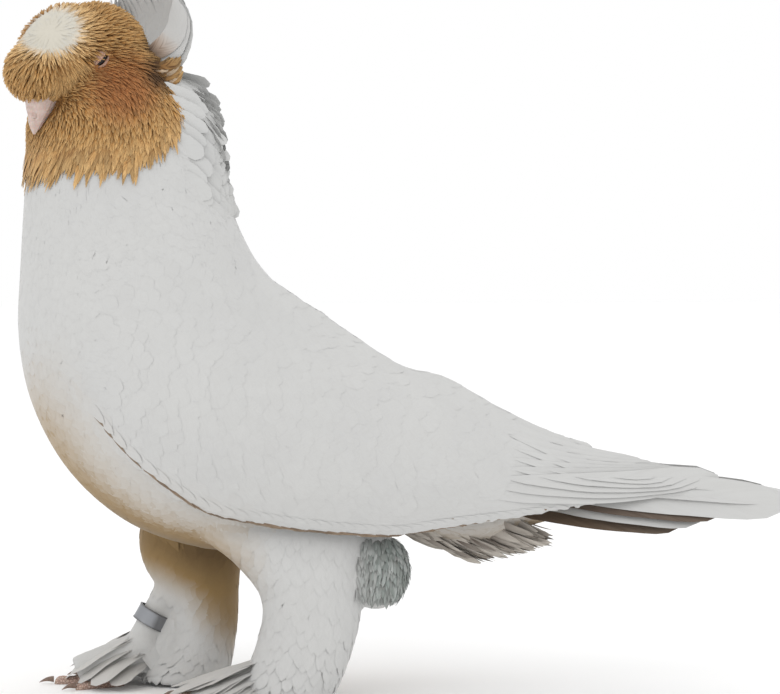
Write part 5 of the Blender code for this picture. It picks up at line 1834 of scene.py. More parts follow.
@dataclass
class Wing(Dresser):
    """A folded wing: rows of coverts over its shield, then secondaries and primaries that reach the tail."""

    side: Side = Side.LEFT
    rows: int = 26
    first_x: float = -126.0
    last_x: float = 46.0
    covert_length: tuple[float, float] = (12.0, 19.0)
    covert_half: tuple[float, float] = (4.2, 6.4)
    shield_down: tuple[float, ...] = (0, 0.24, 0.55, 0.73, 0.81, 0.84)
    shield_x: tuple[float, ...] = (57, 59, 55, 46, 26, 2)
    # First x and down, the step of each from vane to vane, the same of the tips, the count and half width.
    primaries: tuple[float, ...] = (36, 0.12, -1.3, 0.1, 112, 0.25, 5.0, 0.055, 7, 7.0)
    secondaries: tuple[float, ...] = (-64, 0.80, 16, -0.013, -24, 0.95, 19.0, -0.019, 6, 9.0)
    tertials: tuple[float, ...] = (26, 0.14, 1.2, 0.3, 78, 0.16, -4.0, 0.26, 2, 15.0)
    # Down, lift, half width and painted shade of the lower row along the wing's edge, which paints the shade
    # line under the wing, and of the row above it.
    edges: tuple[tuple[float, ...], ...] = ((0.988, 0.3, 1.3, 0.62), (0.95, 0.45, 2.6, 0.0))
    edge_step: float = 5.0
    edge_length: float = 15.0

    def build(self) -> None:
        """Sets the lower edge, the coverts and the three sets of flight feathers."""
        self.edge_rows()
        self.coverts()
        sets = (
            ("primaries", self.primaries, -0.4, 0.03, 0.03, None),
            ("secondaries", self.secondaries, 0.1, 0.0, 0.02, self.skin.surface),
            ("tertials", self.tertials, 0.12, 0.0, 0.02, self.skin.surface),
        )
        for number, (name, numbers, lift, layer, thick, surface) in enumerate(sets):
            draw = self.draw(10 + number)
            x0, d0, x0_step, d0_step, x1, d1, x1_step, d1_step, count, half = numbers
            order = np.arange(int(count))
            # The far wing lies a little lower, under the near one's edge.
            d0, d1 = (down + 0.07 * (self.side is Side.RIGHT) for down in (d0, d1))
            starts = np.stack((x0 + x0_step * order, d0 + d0_step * order), -1)
            ends = np.stack((x1 + x1_step * order, d1 + d1_step * order), -1)
            path, out = self.over_face(starts, ends, lift - layer * order, 14)
            vanes = Vanes(
                path, out, np.full(len(order), half), Cut.FLIGHT, Outline.FEATHER, thick, 0.0, 0.01, 0.0
            )
            if surface is not None:
                vanes.surface = surface
                vanes.heights = np.broadcast_to(
                    -0.3 + (lift + 0.3) * np.linspace(0, 1, 14) ** 0.8, path.shape[:2]
                )
            self.hand_in(vanes, f"{name}_{self.side.word}", draw, brown=0.0, pale=0.0)

    def over_face(
        self, starts: np.ndarray, ends: np.ndarray, lift: np.ndarray, steps: int
    ) -> tuple[np.ndarray, np.ndarray]:
        """Paths over the wing's outer face from one (x, down) place to another.

        Args:
            starts: Where they start.
            ends: Where they end.
            lift: How far each lies off the face.
            steps: The number of stations.

        Returns:
            The stations and the directions off the face.
        """
        share = np.linspace(0, 1, steps)[None]
        x = starts[:, :1] + (ends[:, :1] - starts[:, :1]) * share
        down = starts[:, 1:] + (ends[:, 1:] - starts[:, 1:]) * share
        at = self.form.wing_at(x)
        spot = self.form.wing_point(at, down)
        one = self.form.wing_point(at, down + 0.03) - self.form.wing_point(at, down - 0.03)
        two = self.form.wing_point(at + 0.1, down) - self.form.wing_point(at - 0.1, down)
        out = unit(np.cross(one, two))
        out = out * np.sign(out[..., 1:2] + 1e-9)
        sink = -self.skin.wing_inset - 0.8
        height = sink + (lift[:, None] - sink) * rise(0, 0.3, share)
        return (spot + out * height[..., None]) * self.side.flip, out * self.side.flip

    def edge_rows(self) -> None:
        """Sets the narrow feathers along the wing's lower edge, the lower row painted brown and dark as the
        shade line under the wing.
        """
        at = self.form.wing_at(np.arange(self.first_x - 9, 62.0, self.edge_step))
        flip = self.side.flip
        for number, (down, lift, half, dusk) in enumerate(self.edges):
            starts = self.form.wing_point(at, down) * flip
            ways = (self.form.wing_point(at + 0.3, down) - self.form.wing_point(at - 0.3, down)) * flip
            path = self.skin.follow(
                starts, ways, np.full(len(at), self.edge_length), 0.3, np.full(len(at), lift), 9
            )
            vanes = Vanes(**path, half=np.full(len(at), half), outline=Outline.CONTOUR, thick=0.1, camber=0.0)
            name = f"edge_{number + 1}_{self.side.word}"
            self.hand_in(vanes, name, self.draw(20 + number), brown=dusk, pale=0.0, dusk=dusk)

    def coverts(self) -> None:
        """Sets the rows of coverts, smallest at the wrist, whose last row ends at the shield's round edge."""
        draw = self.draw()
        starts, ways, lengths, halves = [], [], [], []
        for row in range(self.rows):
            share = row / (self.rows - 1)
            x = self.first_x + (self.last_x - self.first_x) * share
            reach = 0.5 * (self.last_x - self.first_x) / self.rows
            length = self.covert_length[0] + (self.covert_length[1] - self.covert_length[0]) * share
            half = self.covert_half[0] + (self.covert_half[1] - self.covert_half[0]) * share
            at = float(self.form.wing_at(x))
            arc = np.linalg.norm(np.diff(self.form.wing_point(at, np.linspace(0, 1, 20)), axis=0), axis=1).sum(
                
            )
            count = max(3, int(arc / (half * 1.05)))
            down = (np.arange(count) + 0.25 + 0.5 * (row % 2)) / count
            down = np.clip(down + draw.normal(0, 0.004, count), 0.01, 0.97)
            at = self.form.wing_at(x + draw.uniform(-reach, reach, count))
            spot = self.form.wing_point(at, down)
            edge = np.interp(down, self.shield_down, self.shield_x, right=-4.0)
            fits = spot[:, 0] + 0.9 * length < edge
            way = self.form.wing_point(at + 0.3, down) - self.form.wing_point(at - 0.3, down)
            starts.append((spot * self.side.flip)[fits])
            ways.append((way * self.side.flip)[fits])
            lengths.append(np.full(fits.sum(), length))
            halves.append(np.full(fits.sum(), half))
        starts, ways = np.concatenate(starts), np.concatenate(ways)
        lengths = np.concatenate(lengths) * draw.uniform(0.93, 1.05, len(starts))
        path = self.skin.follow(starts, ways, lengths, 0.15, draw.uniform(0.15, 0.2, len(starts)), 7)
        vanes = Vanes(
            **path, half=np.concatenate(halves), outline=Outline.CONTOUR, thick=0.06, camber=0.0, ragged=0.01
        )
        self.hand_in(vanes, f"coverts_{self.side.word}", draw)


@dataclass
class Tail(Dresser):
    """The closed tail: six pairs of feathers, the coverts over and under their roots, and the rear fluff."""

    root_x: float = 43.0
    # Root across and up, the tip along, across and up, the roll, the half width, the brown and the shade; these
    # last two darken the tucked pairs, partly as a brown stain on their undersides and partly as painted shadow
    # under the top pairs.
    pairs: tuple[tuple[float, ...], ...] = (
        (1.5, 100, 171, 2.0, 87.8, 10, 9.0, 0, 0),
        (4.0, 98.5, 171, 7.5, 86.0, 30, 9.5, 0, 0),
        (6.5, 96.5, 171, 13.5, 83.0, 58, 10.6, 0, 0),
        (7.0, 94.0, 143, 12.6, 80.6, 50, 9.5, 0.35, 0.84),
        (6.5, 91, 133, 12.4, 77.2, 47, 9.0, 0, 0.03),
        (5.5, 85, 125, 10.5, 75.0, 45, 9.0, 0.35, 0.8),
    )
    under_plumes: int = 420
    # The lower outline of the under-tail coverts, along the bird and up.
    under_x: tuple[float, ...] = (6.0, 18.0, 39.0, 52.0, 70.0)
    under_z: tuple[float, ...] = (70.0, 63.4, 55.6, 58.4, 62.6)
    fluff_locks: int = 900

    def build(self) -> None:
        """Sets the tail feathers, the coverts and the fluff."""
        self.rectrices()
        self.under_coverts()
        self.upper_coverts()
        self.fluff()

    def rectrices(self) -> None:
        """Sets the six pairs, the middle one on top."""
        draw = self.draw()
        roots, tips, outs, halves, tints = [], [], [], [], []
        for root_y, root_z, tip_x, tip_y, tip_z, roll, half, *tint in self.pairs:
            for side in Side:
                turn = math.radians(roll)
                low = 0.5 * (side is Side.RIGHT)
                roots.append((self.root_x, side.value * root_y, root_z - low))
                tips.append((tip_x, side.value * tip_y, tip_z - low))
                outs.append((0, side.value * math.sin(turn), math.cos(turn)))
                halves.append(half)
                tints.append(tint)
        roots, tips = np.array(roots), np.array(tips)
        path = bend(roots, (roots + tips) / 2 - np.array((0, 0, 0.6)), tips, 16)
        out = np.broadcast_to(np.array(outs)[:, None], path.shape)
        vanes = Vanes(path, out, np.array(halves, float), Cut.FLIGHT, Outline.FEATHER, 0.15, 0.02, 0.008)
        # The brown and the dark marks paint the shadow on the pairs tucked under the top ones.
        brown, dusk = np.array(tints).T[..., None]
        self.hand_in(vanes, "tail_feathers", draw, brown=brown, pale=0.0, dusk=dusk)

    def under_coverts(self) -> None:
        """Sets the brush of narrow plumes under the tail's root, whose tips follow its lower outline."""
        draw = self.draw(1)
        count = self.under_plumes
        tip_x = draw.uniform(self.under_x[0], self.under_x[-1] + 1.0, count)
        tip_z = np.interp(tip_x, self.under_x, self.under_z) + 8.0 * draw.uniform(0, 1, count) ** 1.4
        y = draw.uniform(-9, 9, count)
        off = np.abs(y)
        tips = np.stack((tip_x - 0.3 * off, y, tip_z + 0.3 * off), -1)
        back = draw.uniform(17, 25, count)
        roots = tips + np.stack((-back, -0.15 * y, 14 - 0.25 * (tip_x - self.under_x[0]) * 0.3 + 0 * y), -1)
        knees = (roots + tips) / 2 + np.stack((0 * y, 0.1 * y, -2.4 + 0 * y), -1)
        roll = np.radians(7.0 * y)
        out = np.stack((0 * y, np.sin(roll), -np.cos(roll)), -1)
        path = bend(roots, knees, tips, 9)
        out = np.broadcast_to(out[:, None], path.shape)
        half = draw.uniform(1.1, 2.2, count)
        vanes = Vanes(path, out, half, Cut.VANE, Outline.PLUME, 0.16, 0.1, 0.08, 24.0)
        # The plumes are painted darker towards their roots and as a whole, as the shade under the tail, and
        # darker again at random; the warm mark tints them.
        dark = 0.48 * (1 - rise(0.1, 0.8, vanes.run)) + 0.62 * draw.uniform(0, 1, (count, 1)) ** 1.5
        self.hand_in(vanes, "under_tail_coverts", draw, brown=0.0, pale=0.0, warm=0.3, dusk=dark)

    def upper_coverts(self) -> None:
        """Sets the plumes that run from the rump over the tail's root."""
        draw = self.draw(2)
        x, y = np.meshgrid(np.linspace(34, 88, 10), np.linspace(-8, 8, 7), indexing="ij")
        x, y = x.ravel() + draw.uniform(-2, 2, x.size), y.ravel() * np.interp(x.ravel(), (34, 92), (1.0, 0.7))
        starts = np.stack((x, y, 112 - 0.16 * (x - 34)), -1)
        ways = np.broadcast_to((1.0, 0.0, -0.15), starts.shape)
        path = self.skin.follow(
            starts, ways, np.full(len(starts), 20.0), 0.2, draw.uniform(0.2, 0.3, len(x)), 7
        )
        vanes = Vanes(**path, half=np.full(len(x), 5.0), outline=Outline.CONTOUR, thick=0.06, camber=0.0)
        self.hand_in(vanes, "upper_tail_coverts", draw)

    def fluff(self) -> None:
        """Sets the soft bluish clump that hangs behind the left thigh."""
        draw = self.draw(3)
        middle, radii = np.array(self.skin.fluff), np.array(self.skin.fluff_radii)
        turn = draw.uniform(-2.3, 2.3, self.fluff_locks)
        up = draw.uniform(-0.5, 1.1, self.fluff_locks)
        ball = np.stack((np.cos(up) * np.cos(turn), np.cos(up) * np.sin(turn), np.sin(up)), -1)
        starts = middle + ball * radii
        ways = np.broadcast_to((-0.1, 0.0, -1.0), starts.shape) + draw.normal(0, 0.12, starts.shape)
        lengths = draw.uniform(5, 9, self.fluff_locks)
        path = self.skin.follow(starts, ways, lengths, 0.6, draw.uniform(0.5, 2.0, self.fluff_locks), 8)
        half = draw.uniform(0.55, 0.95, self.fluff_locks)
        vanes = Vanes(**path, half=half, thick=0.16, camber=0.0, ragged=0.12)
        # The locks are painted darker at their roots as shade, and darker again at random.
        dark = 0.35 * (1 - rise(0, 0.6, vanes.run)) + draw.uniform(0, 0.3, (self.fluff_locks, 1))
        away = rise(-22, -8, starts[:, :1])
        cool = draw.uniform(0.5, 1.0, (self.fluff_locks, 1)) * (0.3 + 0.7 * away)
        self.hand_in(vanes, "rear_fluff", draw, cool=cool, warm=0.0, dusk=dark)


@dataclass
class Leg(Dresser):
    """A feathered leg: soft plumage down the thigh and shank, and long feathers that fan over the toes."""

    side: Side = Side.LEFT
    foot: tuple[float, float] = (-65.0, -27.0)
    fan_root: tuple[float, float] = (-8.0, 17.0)
    tiers: int = 19
    top: float = 84.0
    # Heading outwards, reach from the ankle, half width and share of the root's height.
    fan: tuple[tuple[float, ...], ...] = (
        (-58, 26, 4.6, 0.5),
        (-42, 29, 5.0, 0.7),
        (-27, 32, 4.6, 0.85),
        (-13, 34, 5.0, 1.0),
        (2, 33, 4.4, 0.9),
        (15, 35, 5.0, 1.0),
        (30, 34, 4.6, 0.85),
        (46, 34, 5.2, 0.7),
        (60, 32, 4.6, 0.6),
        (74, 31, 5.2, 0.5),
        (95, 27, 4.6, 0.4),
    )

    def rows(self) -> np.ndarray:
        """The ellipses of this leg's skin."""
        return np.array(self.skin.left_leg if self.side is Side.LEFT else self.skin.right_leg, float)

    def build(self) -> None:
        """Sets the leg's plumage and the fan."""
        self.plumage()
        self.feet()

    def plumage(self) -> None:
        """Sets tiers of soft feathers from the thigh down to the floor."""
        draw = self.draw()
        rows = self.rows()
        starts, ways, lengths = [], [], []
        for tier in range(self.tiers):
            z = self.top - (self.top - 9.0) * tier / (self.tiers - 1)
            at = float(np.interp(-z, -rows[:, 1], np.arange(len(rows))))
            x, _, half_x, half_y = spline(rows, np.array(at))
            count = int(16 + half_x * 0.6)
            turn = math.tau * (np.arange(count) + 0.5 * (tier % 2) + draw.uniform(-0.2, 0.2, count)) / count
            y = self.side.value * self.skin.leg_spread + half_y * np.sin(turn)
            spot = np.stack((x + half_x * np.cos(turn), y, z + draw.uniform(-1.5, 1.5, count)), -1)
            splay = 0.15 + 0.5 * (tier / self.tiers) ** 2
            way = np.stack((-0.22 + splay * np.cos(turn), splay * np.sin(turn), -1 + 0 * turn), -1)
            clear = np.linalg.norm(spot - np.array((-108.0, 26.0, 34.0)), axis=1) > 17
            starts.append(spot[clear])
            ways.append(way[clear])
            lengths.append(np.full(clear.sum(), np.interp(z, (9, 30, 80), (9, 13, 13))))
        starts, ways = np.concatenate(starts), np.concatenate(ways)
        lengths = np.concatenate(lengths) * draw.uniform(0.85, 1.15, len(starts))
        lift = np.interp(starts[:, 2], (8, 30, 55), (1.6, 0.7, 0.25)) * draw.uniform(0.6, 1.2, len(starts))
        path = self.skin.follow(starts, ways, lengths, 0.2, lift, 8)
        half = draw.uniform(2.3, 3.3, len(starts))
        vanes = Vanes(**path, half=half, thick=0.07, camber=0.0, ragged=0.05)
        self.hand_in(vanes, f"leg_plumage_{self.side.word}", draw)

    def feet(self) -> None:
        """Sets the fan over the toes in three layers, each shorter than the one below it."""
        draw = self.draw(1)
        roots, knees, tips, halves = [], [], [], []
        shift, height = self.fan_root
        for layer in range(3):
            for heading, reach, half, share in self.fan:
                angle = math.radians(heading + 5 * layer + draw.uniform(-3, 3))
                way = np.array((-math.cos(angle), self.side.value * math.sin(angle), 0))
                reach = reach * (1.05, 0.85, 0.65)[layer] + draw.uniform(-1.5, 1.5)
                spot = np.array((*self.foot, 0.0))
                roots.append(spot + way * shift + UP * height * share * (1 + 0.07 * layer))
                knees.append(spot + way * (shift + reach) * 0.5 + UP * height * share * (0.9 + 0.06 * layer))
                tips.append(spot + way * reach + UP * ((6.5 if share > 0.9 else 3.0) + 1.5 * layer))
                halves.append(half * draw.uniform(1.15, 1.45))
        path = bend(np.array(roots), np.array(knees), np.array(tips), 11)
        path[..., 2] = np.maximum(path[..., 2], 1.0)
        out = np.broadcast_to((0.0, 0.0, 1.0), path.shape)
        vanes = Vanes(path, out, np.array(halves), Cut.FLIGHT, Outline.FEATHER, 0.12, 0.06, 0.05, 3.0)
        # The fan is painted a little darker at its roots as shade, and a little warmer towards its tips.
        dark = 0.03 * (1 - rise(0, 0.5, vanes.run))
        self.hand_in(vanes, f"foot_fan_{self.side.word}", draw, warm=0.03 + 0.05 * vanes.run, dusk=dark)


@dataclass
class Beak:
    """The short bill: two horny halves, the upper one hooked, with a swollen cere and slit nostrils."""

    bench: Bench
    form: Form
    base: tuple[float, float, float] = (17.6, 0.0, -15.0)
    tip: tuple[float, float, float] = (24.0, 0.0, -31.3)
    half_width: float = 7.8
    half_height: float = 7.2
    gap: float = 0.3
    nostril_at: float = 0.6
    nostril_size: tuple[float, float] = (0.08, 0.24)
    nostril_depth: float = 2.2
    cere_swell: float = 0.12
    steps: int = 60
    around: int = 56

    def build(self, finish: bpy.types.Material) -> None:
        """Makes both halves."""
        for word, sign, reach, width, height in (("upper", 1, 1.0, 1.0, 1.15), ("lower", -1, 0.88, 0.86, 0.8)):
            obj = self.bench.rings(f"beak_{word}_horn", self.half(sign, reach, width, height))
            self.bench.done(obj, finish, "beak_horn", (f"beak_{word}",))

    def half(self, sign: int, reach: float, width: float, height: float) -> np.ndarray:
        """The rings of one half, from inside the face to its tip.

        Args:
            sign: 1 for the upper half and -1 for the lower one.
            reach: Its length as a share of the whole.
            width: Its width as a share.
            height: Its height as a share.

        Returns:
            Rings of points in the bird's frame.
        """
        base, tip = np.array(self.base), np.array(self.tip)
        axis = unit(tip - base)
        side = np.array((0.0, 1.0, 0.0))
        up = np.cross(side, axis)
        up = up * np.sign(up[2])
        share = np.linspace(-0.4, 1.0, self.steps)[:, None]
        ahead = np.maximum(share, 0)
        slim = np.maximum(0.06, np.sqrt(np.maximum(1 - ahead**2.2, 0)) * (1 - 0.5 * ahead))
        turn = np.linspace(0, math.pi, self.around // 2)[None]
        swell = 1 + self.cere_swell * np.exp(-(((share - 0.18) / 0.2) ** 2)) * np.sin(turn) ** 2 * (sign > 0)
        from_slit = ((share - self.nostril_at) / self.nostril_size[0]) ** 2
        from_slit = from_slit + ((np.abs(turn - math.pi / 2) - 0.62) / self.nostril_size[1]) ** 2
        pit = self.nostril_depth * np.exp(-(from_slit**2)) * (sign > 0)
        lift = np.sin(turn) * self.half_height * slim * height * swell - pit * np.sin(turn) + self.gap
        wide = np.cos(turn) * self.half_width * slim * width * swell
        centre = base + axis * np.linalg.norm(tip - base) * reach * share - up * 1.2 * ahead**3
        top = centre[:, None] + side * wide[..., None] + up * sign * lift[..., None]
        flat = np.linspace(-1, 1, self.around // 2 + 2)[1:-1][None]
        under = (
            centre[:, None] + side * (flat * self.half_width * slim * width)[..., None] + up * sign * self.gap
        )
        return self.form.in_head(np.concatenate((top, under), 1))


@dataclass
class Eyes:
    """The half-closed eyes: a dark glossy ball, and two lids whose rolled edges leave a slanting slit."""

    bench: Bench
    form: Form
    place: tuple[float, float, float] = (2.9, 18.7, 0.5)
    ball_radius: float = 4.4
    lid_radius: float = 4.9
    lid_wall: float = 0.5
    slant: float = 48.0
    opening: float = 11.0
    roll: float = 0.3

    def build(self, glass: bpy.types.Material, lid_skin: bpy.types.Material) -> None:
        """Makes both eyes with their lids."""
        for side, sign in ((Side.LEFT, 1), (Side.RIGHT, -1)):
            spot = np.array(self.place) * (1, sign, 1)
            up, turn = np.meshgrid(
                np.linspace(-0.497 * math.pi, 0.497 * math.pi, 34), circle(48), indexing="ij"
            )
            ball = np.stack((np.cos(up) * np.cos(turn), np.sin(up), np.cos(up) * np.sin(turn)), -1)
            eye = self.bench.rings(f"eyeball_{side.word}", self.form.in_head(spot + ball * self.ball_radius))
            self.bench.done(eye, glass, "eye", (f"eye_{side.word}",))
            for name, half in (("upper", 1), ("lower", -1)):
                lid = self.bench.rings(f"lid_{name}_{side.word}", self.lid(spot, sign, half))
                self.bench.done(lid, lid_skin, "toe_skin")

    def lid(self, spot: np.ndarray, sign: int, half: int) -> np.ndarray:
        """The rings of one lid, a thin curved shell with a rolled edge.

        Args:
            spot: The eye's middle in the head.
            sign: 1 for the left eye and -1 for the right one.
            half: 1 for the upper lid and -1 for the lower one.

        Returns:
            Rings of points in the bird's frame.
        """
        along = np.linspace(-1.35, 1.35, 40)[:, None]
        gap = np.radians(self.opening) * np.maximum(np.cos(along / 1.35 * math.pi / 2), 0) ** 0.7 + 0.02
        share = np.linspace(0, 1, 12)[None]
        high = gap + (1.25 - gap) * share
        rolled = self.lid_radius + self.roll * np.exp(-((share / 0.09) ** 2)) - 0.5 * share**2
        up = half * np.sin(high) + 0 * along
        outer = np.stack((np.sin(along) * np.cos(high), np.cos(along) * np.cos(high), up), -1)
        inner = outer[:, ::-1] * (rolled[:, ::-1] - self.lid_wall)[..., None]
        ring = np.concatenate((outer * rolled[..., None], inner), 1)
        turn = math.radians(self.slant)
        forward = ring[..., 0] * math.cos(turn) + ring[..., 2] * math.sin(turn)
        up = ring[..., 2] * math.cos(turn) - ring[..., 0] * math.sin(turn)
        turned = np.stack((forward, ring[..., 1] * sign, up), -1)
        return self.form.in_head(spot + turned)


@dataclass
class Foot:
    """The bare toes of one foot, each ringed by scutes, with its curved claw."""

    bench: Bench
    side: Side = Side.LEFT
    foot: tuple[float, float] = (-65.0, -27.0)
    # Heading outwards from straight ahead, reach from the ankle and radius.
    toes: tuple[tuple[float, float, float], ...] = (
        (-27, 35, 2.5), (2, 41, 2.7), (31, 35, 2.5), (172, 23, 2.3)
    )
    toe_start: float = 11.5
    scute_mm: float = 1.9
    claw_length: float = 6.5
    claw_radius: float = 1.25

    def build(self, skin: bpy.types.Material, horn: bpy.types.Material) -> None:
        """Makes the toes and claws."""
        for number, (heading, length, radius) in enumerate(self.toes):
            word = f"{self.side.word}_{number + 1}"
            angle = math.radians(heading)
            way = np.array((-math.cos(angle), self.side.value * math.sin(angle), 0.0))
            toe = self.bench.rings(f"toe_skin_{word}", self.toe(way, length, radius))
            self.bench.done(toe, skin, "toe_skin", (f"toe_{word}",))
            claw = self.bench.rings(f"claw_horn_{word}", self.claw(way, length))
            self.bench.done(claw, horn, "claw_horn", (f"claw_{word}",))

    def toe(self, way: np.ndarray, length: float, radius: float) -> np.ndarray:
        """The rings of one toe, flat on the floor and swollen at each scute.

        Args:
            way: Its direction over the floor.
            length: Its reach from the ankle.
            radius: Its radius at the root.

        Returns:
            The rings.
        """
        steps = 84
        share = np.linspace(0, 1, steps)
        run = (length - self.toe_start) * share
        scutes = 0.05 * np.abs(np.sin(math.pi * run / self.scute_mm)) ** 0.5
        joints = 0.05 * np.cos(math.tau * run / 9.0)
        ends = np.sqrt(np.clip(1 - np.abs(2 * share - 1) ** 14, 0.05, 1))
        size = radius * (1 - 0.3 * share) * (0.97 + joints + scutes) * ends
        around = circle(28)[None]
        across = np.array((-way[1], way[0], 0.0))
        middle = (
            np.array((*self.foot, 0.0)) + way * (self.toe_start + run)[:, None] + UP * (0.8 * size)[:, None]
        )
        wheel = across * np.cos(around)[..., None] + UP * np.sin(around)[..., None]
        ring = middle[:, None] + size[:, None, None] * wheel
        ring[..., 2] = np.maximum(ring[..., 2], 0.0)
        return ring

    def claw(self, way: np.ndarray, length: float) -> np.ndarray:
        """The rings of one claw, which arches and comes down to its point."""
        share = np.linspace(0, 1, 18)[:, None]
        size = self.claw_radius * (1 - 0.9 * share**1.3)
        across = np.array((-way[1], way[0], 0.0))
        high = 2.2 + 0.9 * np.sin(share * 2.6) - 1.9 * share
        middle = np.array((*self.foot, 0.0)) + way * (length + 0.3 + self.claw_length * share) + UP * high
        around = circle(16)[None]
        return middle[:, None] + size[..., None] * (
            0.85 * across * np.cos(around)[..., None] + 1.1 * UP * np.sin(around)[..., None]
        )


@dataclass
class LegRing:
    """The closed metal ring on the right shank, with rolled rims and bare of any mark."""

    bench: Bench
    middle: tuple[float, float, float] = (-106.5, 26.0, 30.2)
    shank: tuple[tuple[float, float, float], ...] = ((-97, 26, 47), (-119, 26, 8))
    radius: float = 7.7
    wall: float = 0.9
    height: float = 7.0
    rim: float = 0.25

    def build(self, finish: bpy.types.Material) -> None:
        """Turns the ring's profile round the shank and marks the grime along its rims."""
        axis = unit(np.array(self.shank[1], float) - np.array(self.shank[0], float))
        one = np.array((0.0, 1.0, 0.0))
        two = np.cross(axis, one)
        level = np.linspace(-0.5, 0.5, 15)
        near_rim = np.exp(-(((0.5 - np.abs(level)) / 0.07) ** 2))
        outer = np.stack((self.radius - self.rim + self.rim * near_rim, level * self.height), -1)
        inner = np.stack((self.radius - self.wall + 0 * level, level * self.height), -1)[::-1]
        profile = np.concatenate((outer, inner))
        turn = circle(96)[:, None, None]
        out = one * np.cos(turn) + two * np.sin(turn)
        rings = np.array(self.middle) + out * profile[:, :1] + axis * profile[:, 1:]
        ring = self.bench.rings("ring_metal", rings, looped=True)
        store(ring.data, "dusk", np.tile(np.concatenate((near_rim, 0.6 + 0 * level)), 96))
        self.bench.done(ring, finish, "band_metal", ("leg_band",))


@dataclass
class Studio:
    """A pale floor, a white surround, soft lamps and the camera where the photographer stood."""

    azimuth: float = -4.0
    elevation: float = 4.0
    distance: float = 1.5
    aim: tuple[float, float, float] = (-0.0022, 0.0, 0.152)
    picture_width: int = 780
    metres_per_pixel: float = 0.000437
    sensor_mm: float = 36.0
    floor_size: float = 6.0
    floor_hex: str = "#FEFEFE"
    world_strength: float = 1.0

    def build(self, drawing_shift: float) -> None:
        """Sets the stage.

        Args:
            drawing_shift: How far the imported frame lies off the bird's drawing, in metres along it.
        """
        self.floor()
        self.world()
        self.lamp("key", (-0.9, -1.5, 1.7), 1.6, 7.0)
        self.lamp("fill", (1.2, -1.2, 0.9), 1.8, 1.0)
        self.lamp("top", (0.2, 0.6, 1.9), 1.8, 3.0)
        self.camera(drawing_shift)
        bpy.context.scene.view_settings.view_transform = "Standard"

    def floor(self) -> None:
        """A wide pale floor of smooth matte paint."""
        half = self.floor_size / 2
        data = bpy.data.meshes.new("floor")
        data.from_pydata(
            [(-half, -half, 0), (half, -half, 0), (half, half, 0), (-half, half, 0)], [], [(0, 1, 2, 3)]
        )
        obj = in_scene("floor", data)
        paint = bpy.data.materials.new("matte_floor_paint")
        paint.use_nodes = True
        shader = paint.node_tree.nodes["Principled BSDF"]
        shader.inputs["Base Color"].default_value = linear(self.floor_hex)
        shader.inputs["Roughness"].default_value = 0.85
        data.materials.append(paint)

    def world(self) -> None:
        """An even white surround."""
        world = bpy.data.worlds.new("studio")
        world.use_nodes = True
        shade = world.node_tree.nodes["Background"]
        shade.inputs["Color"].default_value = (1.0, 1.0, 1.0, 1.0)
        shade.inputs["Strength"].default_value = self.world_strength
        bpy.context.scene.world = world

    def lamp(self, name: str, place: tuple[float, float, float], size: float, power: float) -> None:
        """A square soft lamp that faces the bird.

        Args:
            name: The lamp's name.
            place: Where it hangs, in metres.
            size: Its width.
            power: Its power in watts.
        """
        light = bpy.data.lights.new(name, "AREA")
        light.size = size
        light.energy = power
        obj = in_scene(name, light)
        way = Vector(self.aim) - Vector(place)
        obj.matrix_world = Matrix.Translation(place) @ way.to_track_quat("-Z", "Y").to_matrix().to_4x4()

    def camera(self, drawing_shift: float) -> None:
        """The camera at the photograph's angle, height and framing."""
        turn, lift = math.radians(self.azimuth), math.radians(self.elevation)
        back = Vector((math.sin(turn) * math.cos(lift), -math.cos(turn) * math.cos(lift), math.sin(lift)))
        data = bpy.data.cameras.new("camera")
        data.sensor_width = self.sensor_mm
        data.lens = self.sensor_mm / (self.picture_width * self.metres_per_pixel) * self.distance
        obj = in_scene("camera", data)
        target = Vector(self.aim) + Vector((drawing_shift, 0, 0))
        turned = (-back).to_track_quat("-Z", "Y").to_matrix().to_4x4()
        obj.matrix_world = Matrix.Translation(target + back * self.distance) @ turned
        bpy.context.scene.camera = obj


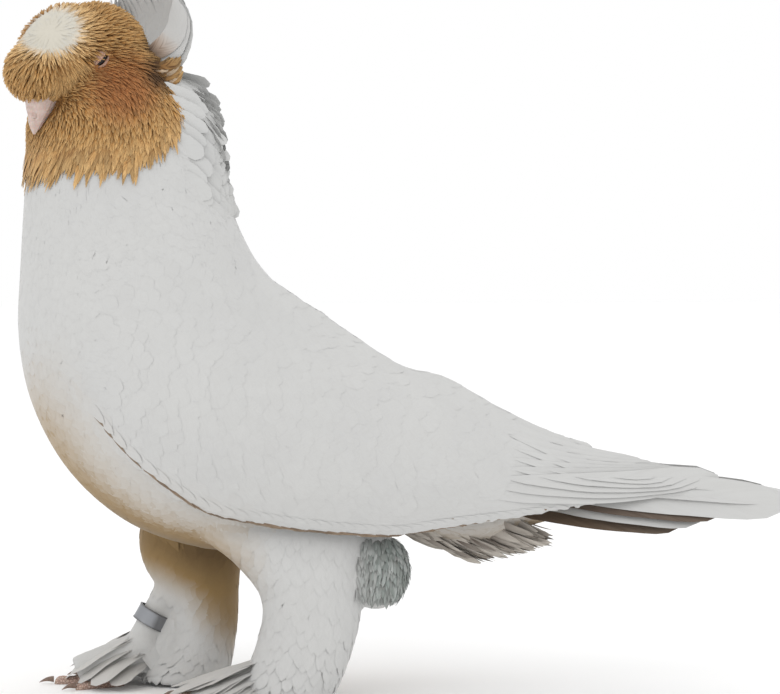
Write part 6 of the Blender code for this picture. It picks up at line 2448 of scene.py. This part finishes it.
def main() -> None:
    """Builds the pigeon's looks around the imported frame, piece by piece."""
    logging.basicConfig(level=logging.INFO, format="%(message)s")
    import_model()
    ring = LegRing(Bench(np.zeros(3)))
    low, high = (np.array(corner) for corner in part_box("leg_band"))
    shift = (low + high) / 2 / MM - np.array(ring.middle)
    shift[1:] = 0.0
    bench = Bench(shift)
    form = Form()
    markings = Markings(form)

    white = Plumage("white_feather_keratin", relief_mm=0.015, sheen=0.15).material()
    brown = Plumage("brown_feather_keratin").material()
    down = Plumage("feather_down", on_vanes=False).material()
    skin = Skin(bench, form, markings)
    body = skin.build(down)
    Coat(
        "body_coat", "coat_body", spacing=2.6, length=11.0, half_width=3.5, steps=7, cut=Cut.OVAL,
        outline=Outline.CONTOUR, thick=0.06, lift=0.14, swing=4.0, seed=3, pieces=3, sink=0.15,
    ).build(bench, body, white, "white_feather")
    Coat(
        "head_coat", "coat_head", spacing=0.86, length=6.6, half_width=0.72, steps=5, cut=Cut.HAIR,
        outline=Outline.LOCK, thick=0.3, lift=1.0, swing=16.0, seed=7, pieces=2,
    ).build(bench, body, brown, "brown_feather")
    browns = (bench, form, skin, brown)
    whites = (bench, form, skin, white)
    Tuft(*browns).build()
    Crest(*whites).build()
    Whorls(*browns).build()
    Mane(*whites).build()
    Fringe(*browns).build()
    for side in Side:
        Wing(*whites, side=side).build()
    Tail(*whites).build()
    feet = ((Side.LEFT, (-65.0, -27.0), (-8.0, 17.0)), (Side.RIGHT, (-109.0, 29.0), (-1.0, 23.0)))
    toe_skin = BareSkin("toe_skin_scaled").material()
    claw_horn = Horn("claw_keratin_horn", "#8F7A6C", "#5A4438").material()
    for side, foot, fan_root in feet:
        Leg(*whites, side=side, foot=foot, fan_root=fan_root).build()
        Foot(bench, side, foot).build(toe_skin, claw_horn)
    Beak(bench, form).build(Horn("beak_keratin_horn").material())
    lid_skin = BareSkin("lid_skin", "#CDAA96", "#8E6552", 0.6).material()
    Eyes(bench, form).build(EyeGlass("eye_cornea").material(), lid_skin)
    LegRing(bench).build(RingMetal("ring_anodised_aluminium").material())
    Studio().build(float(shift[0]) * MM)


if __name__ == "__main__":
    main()
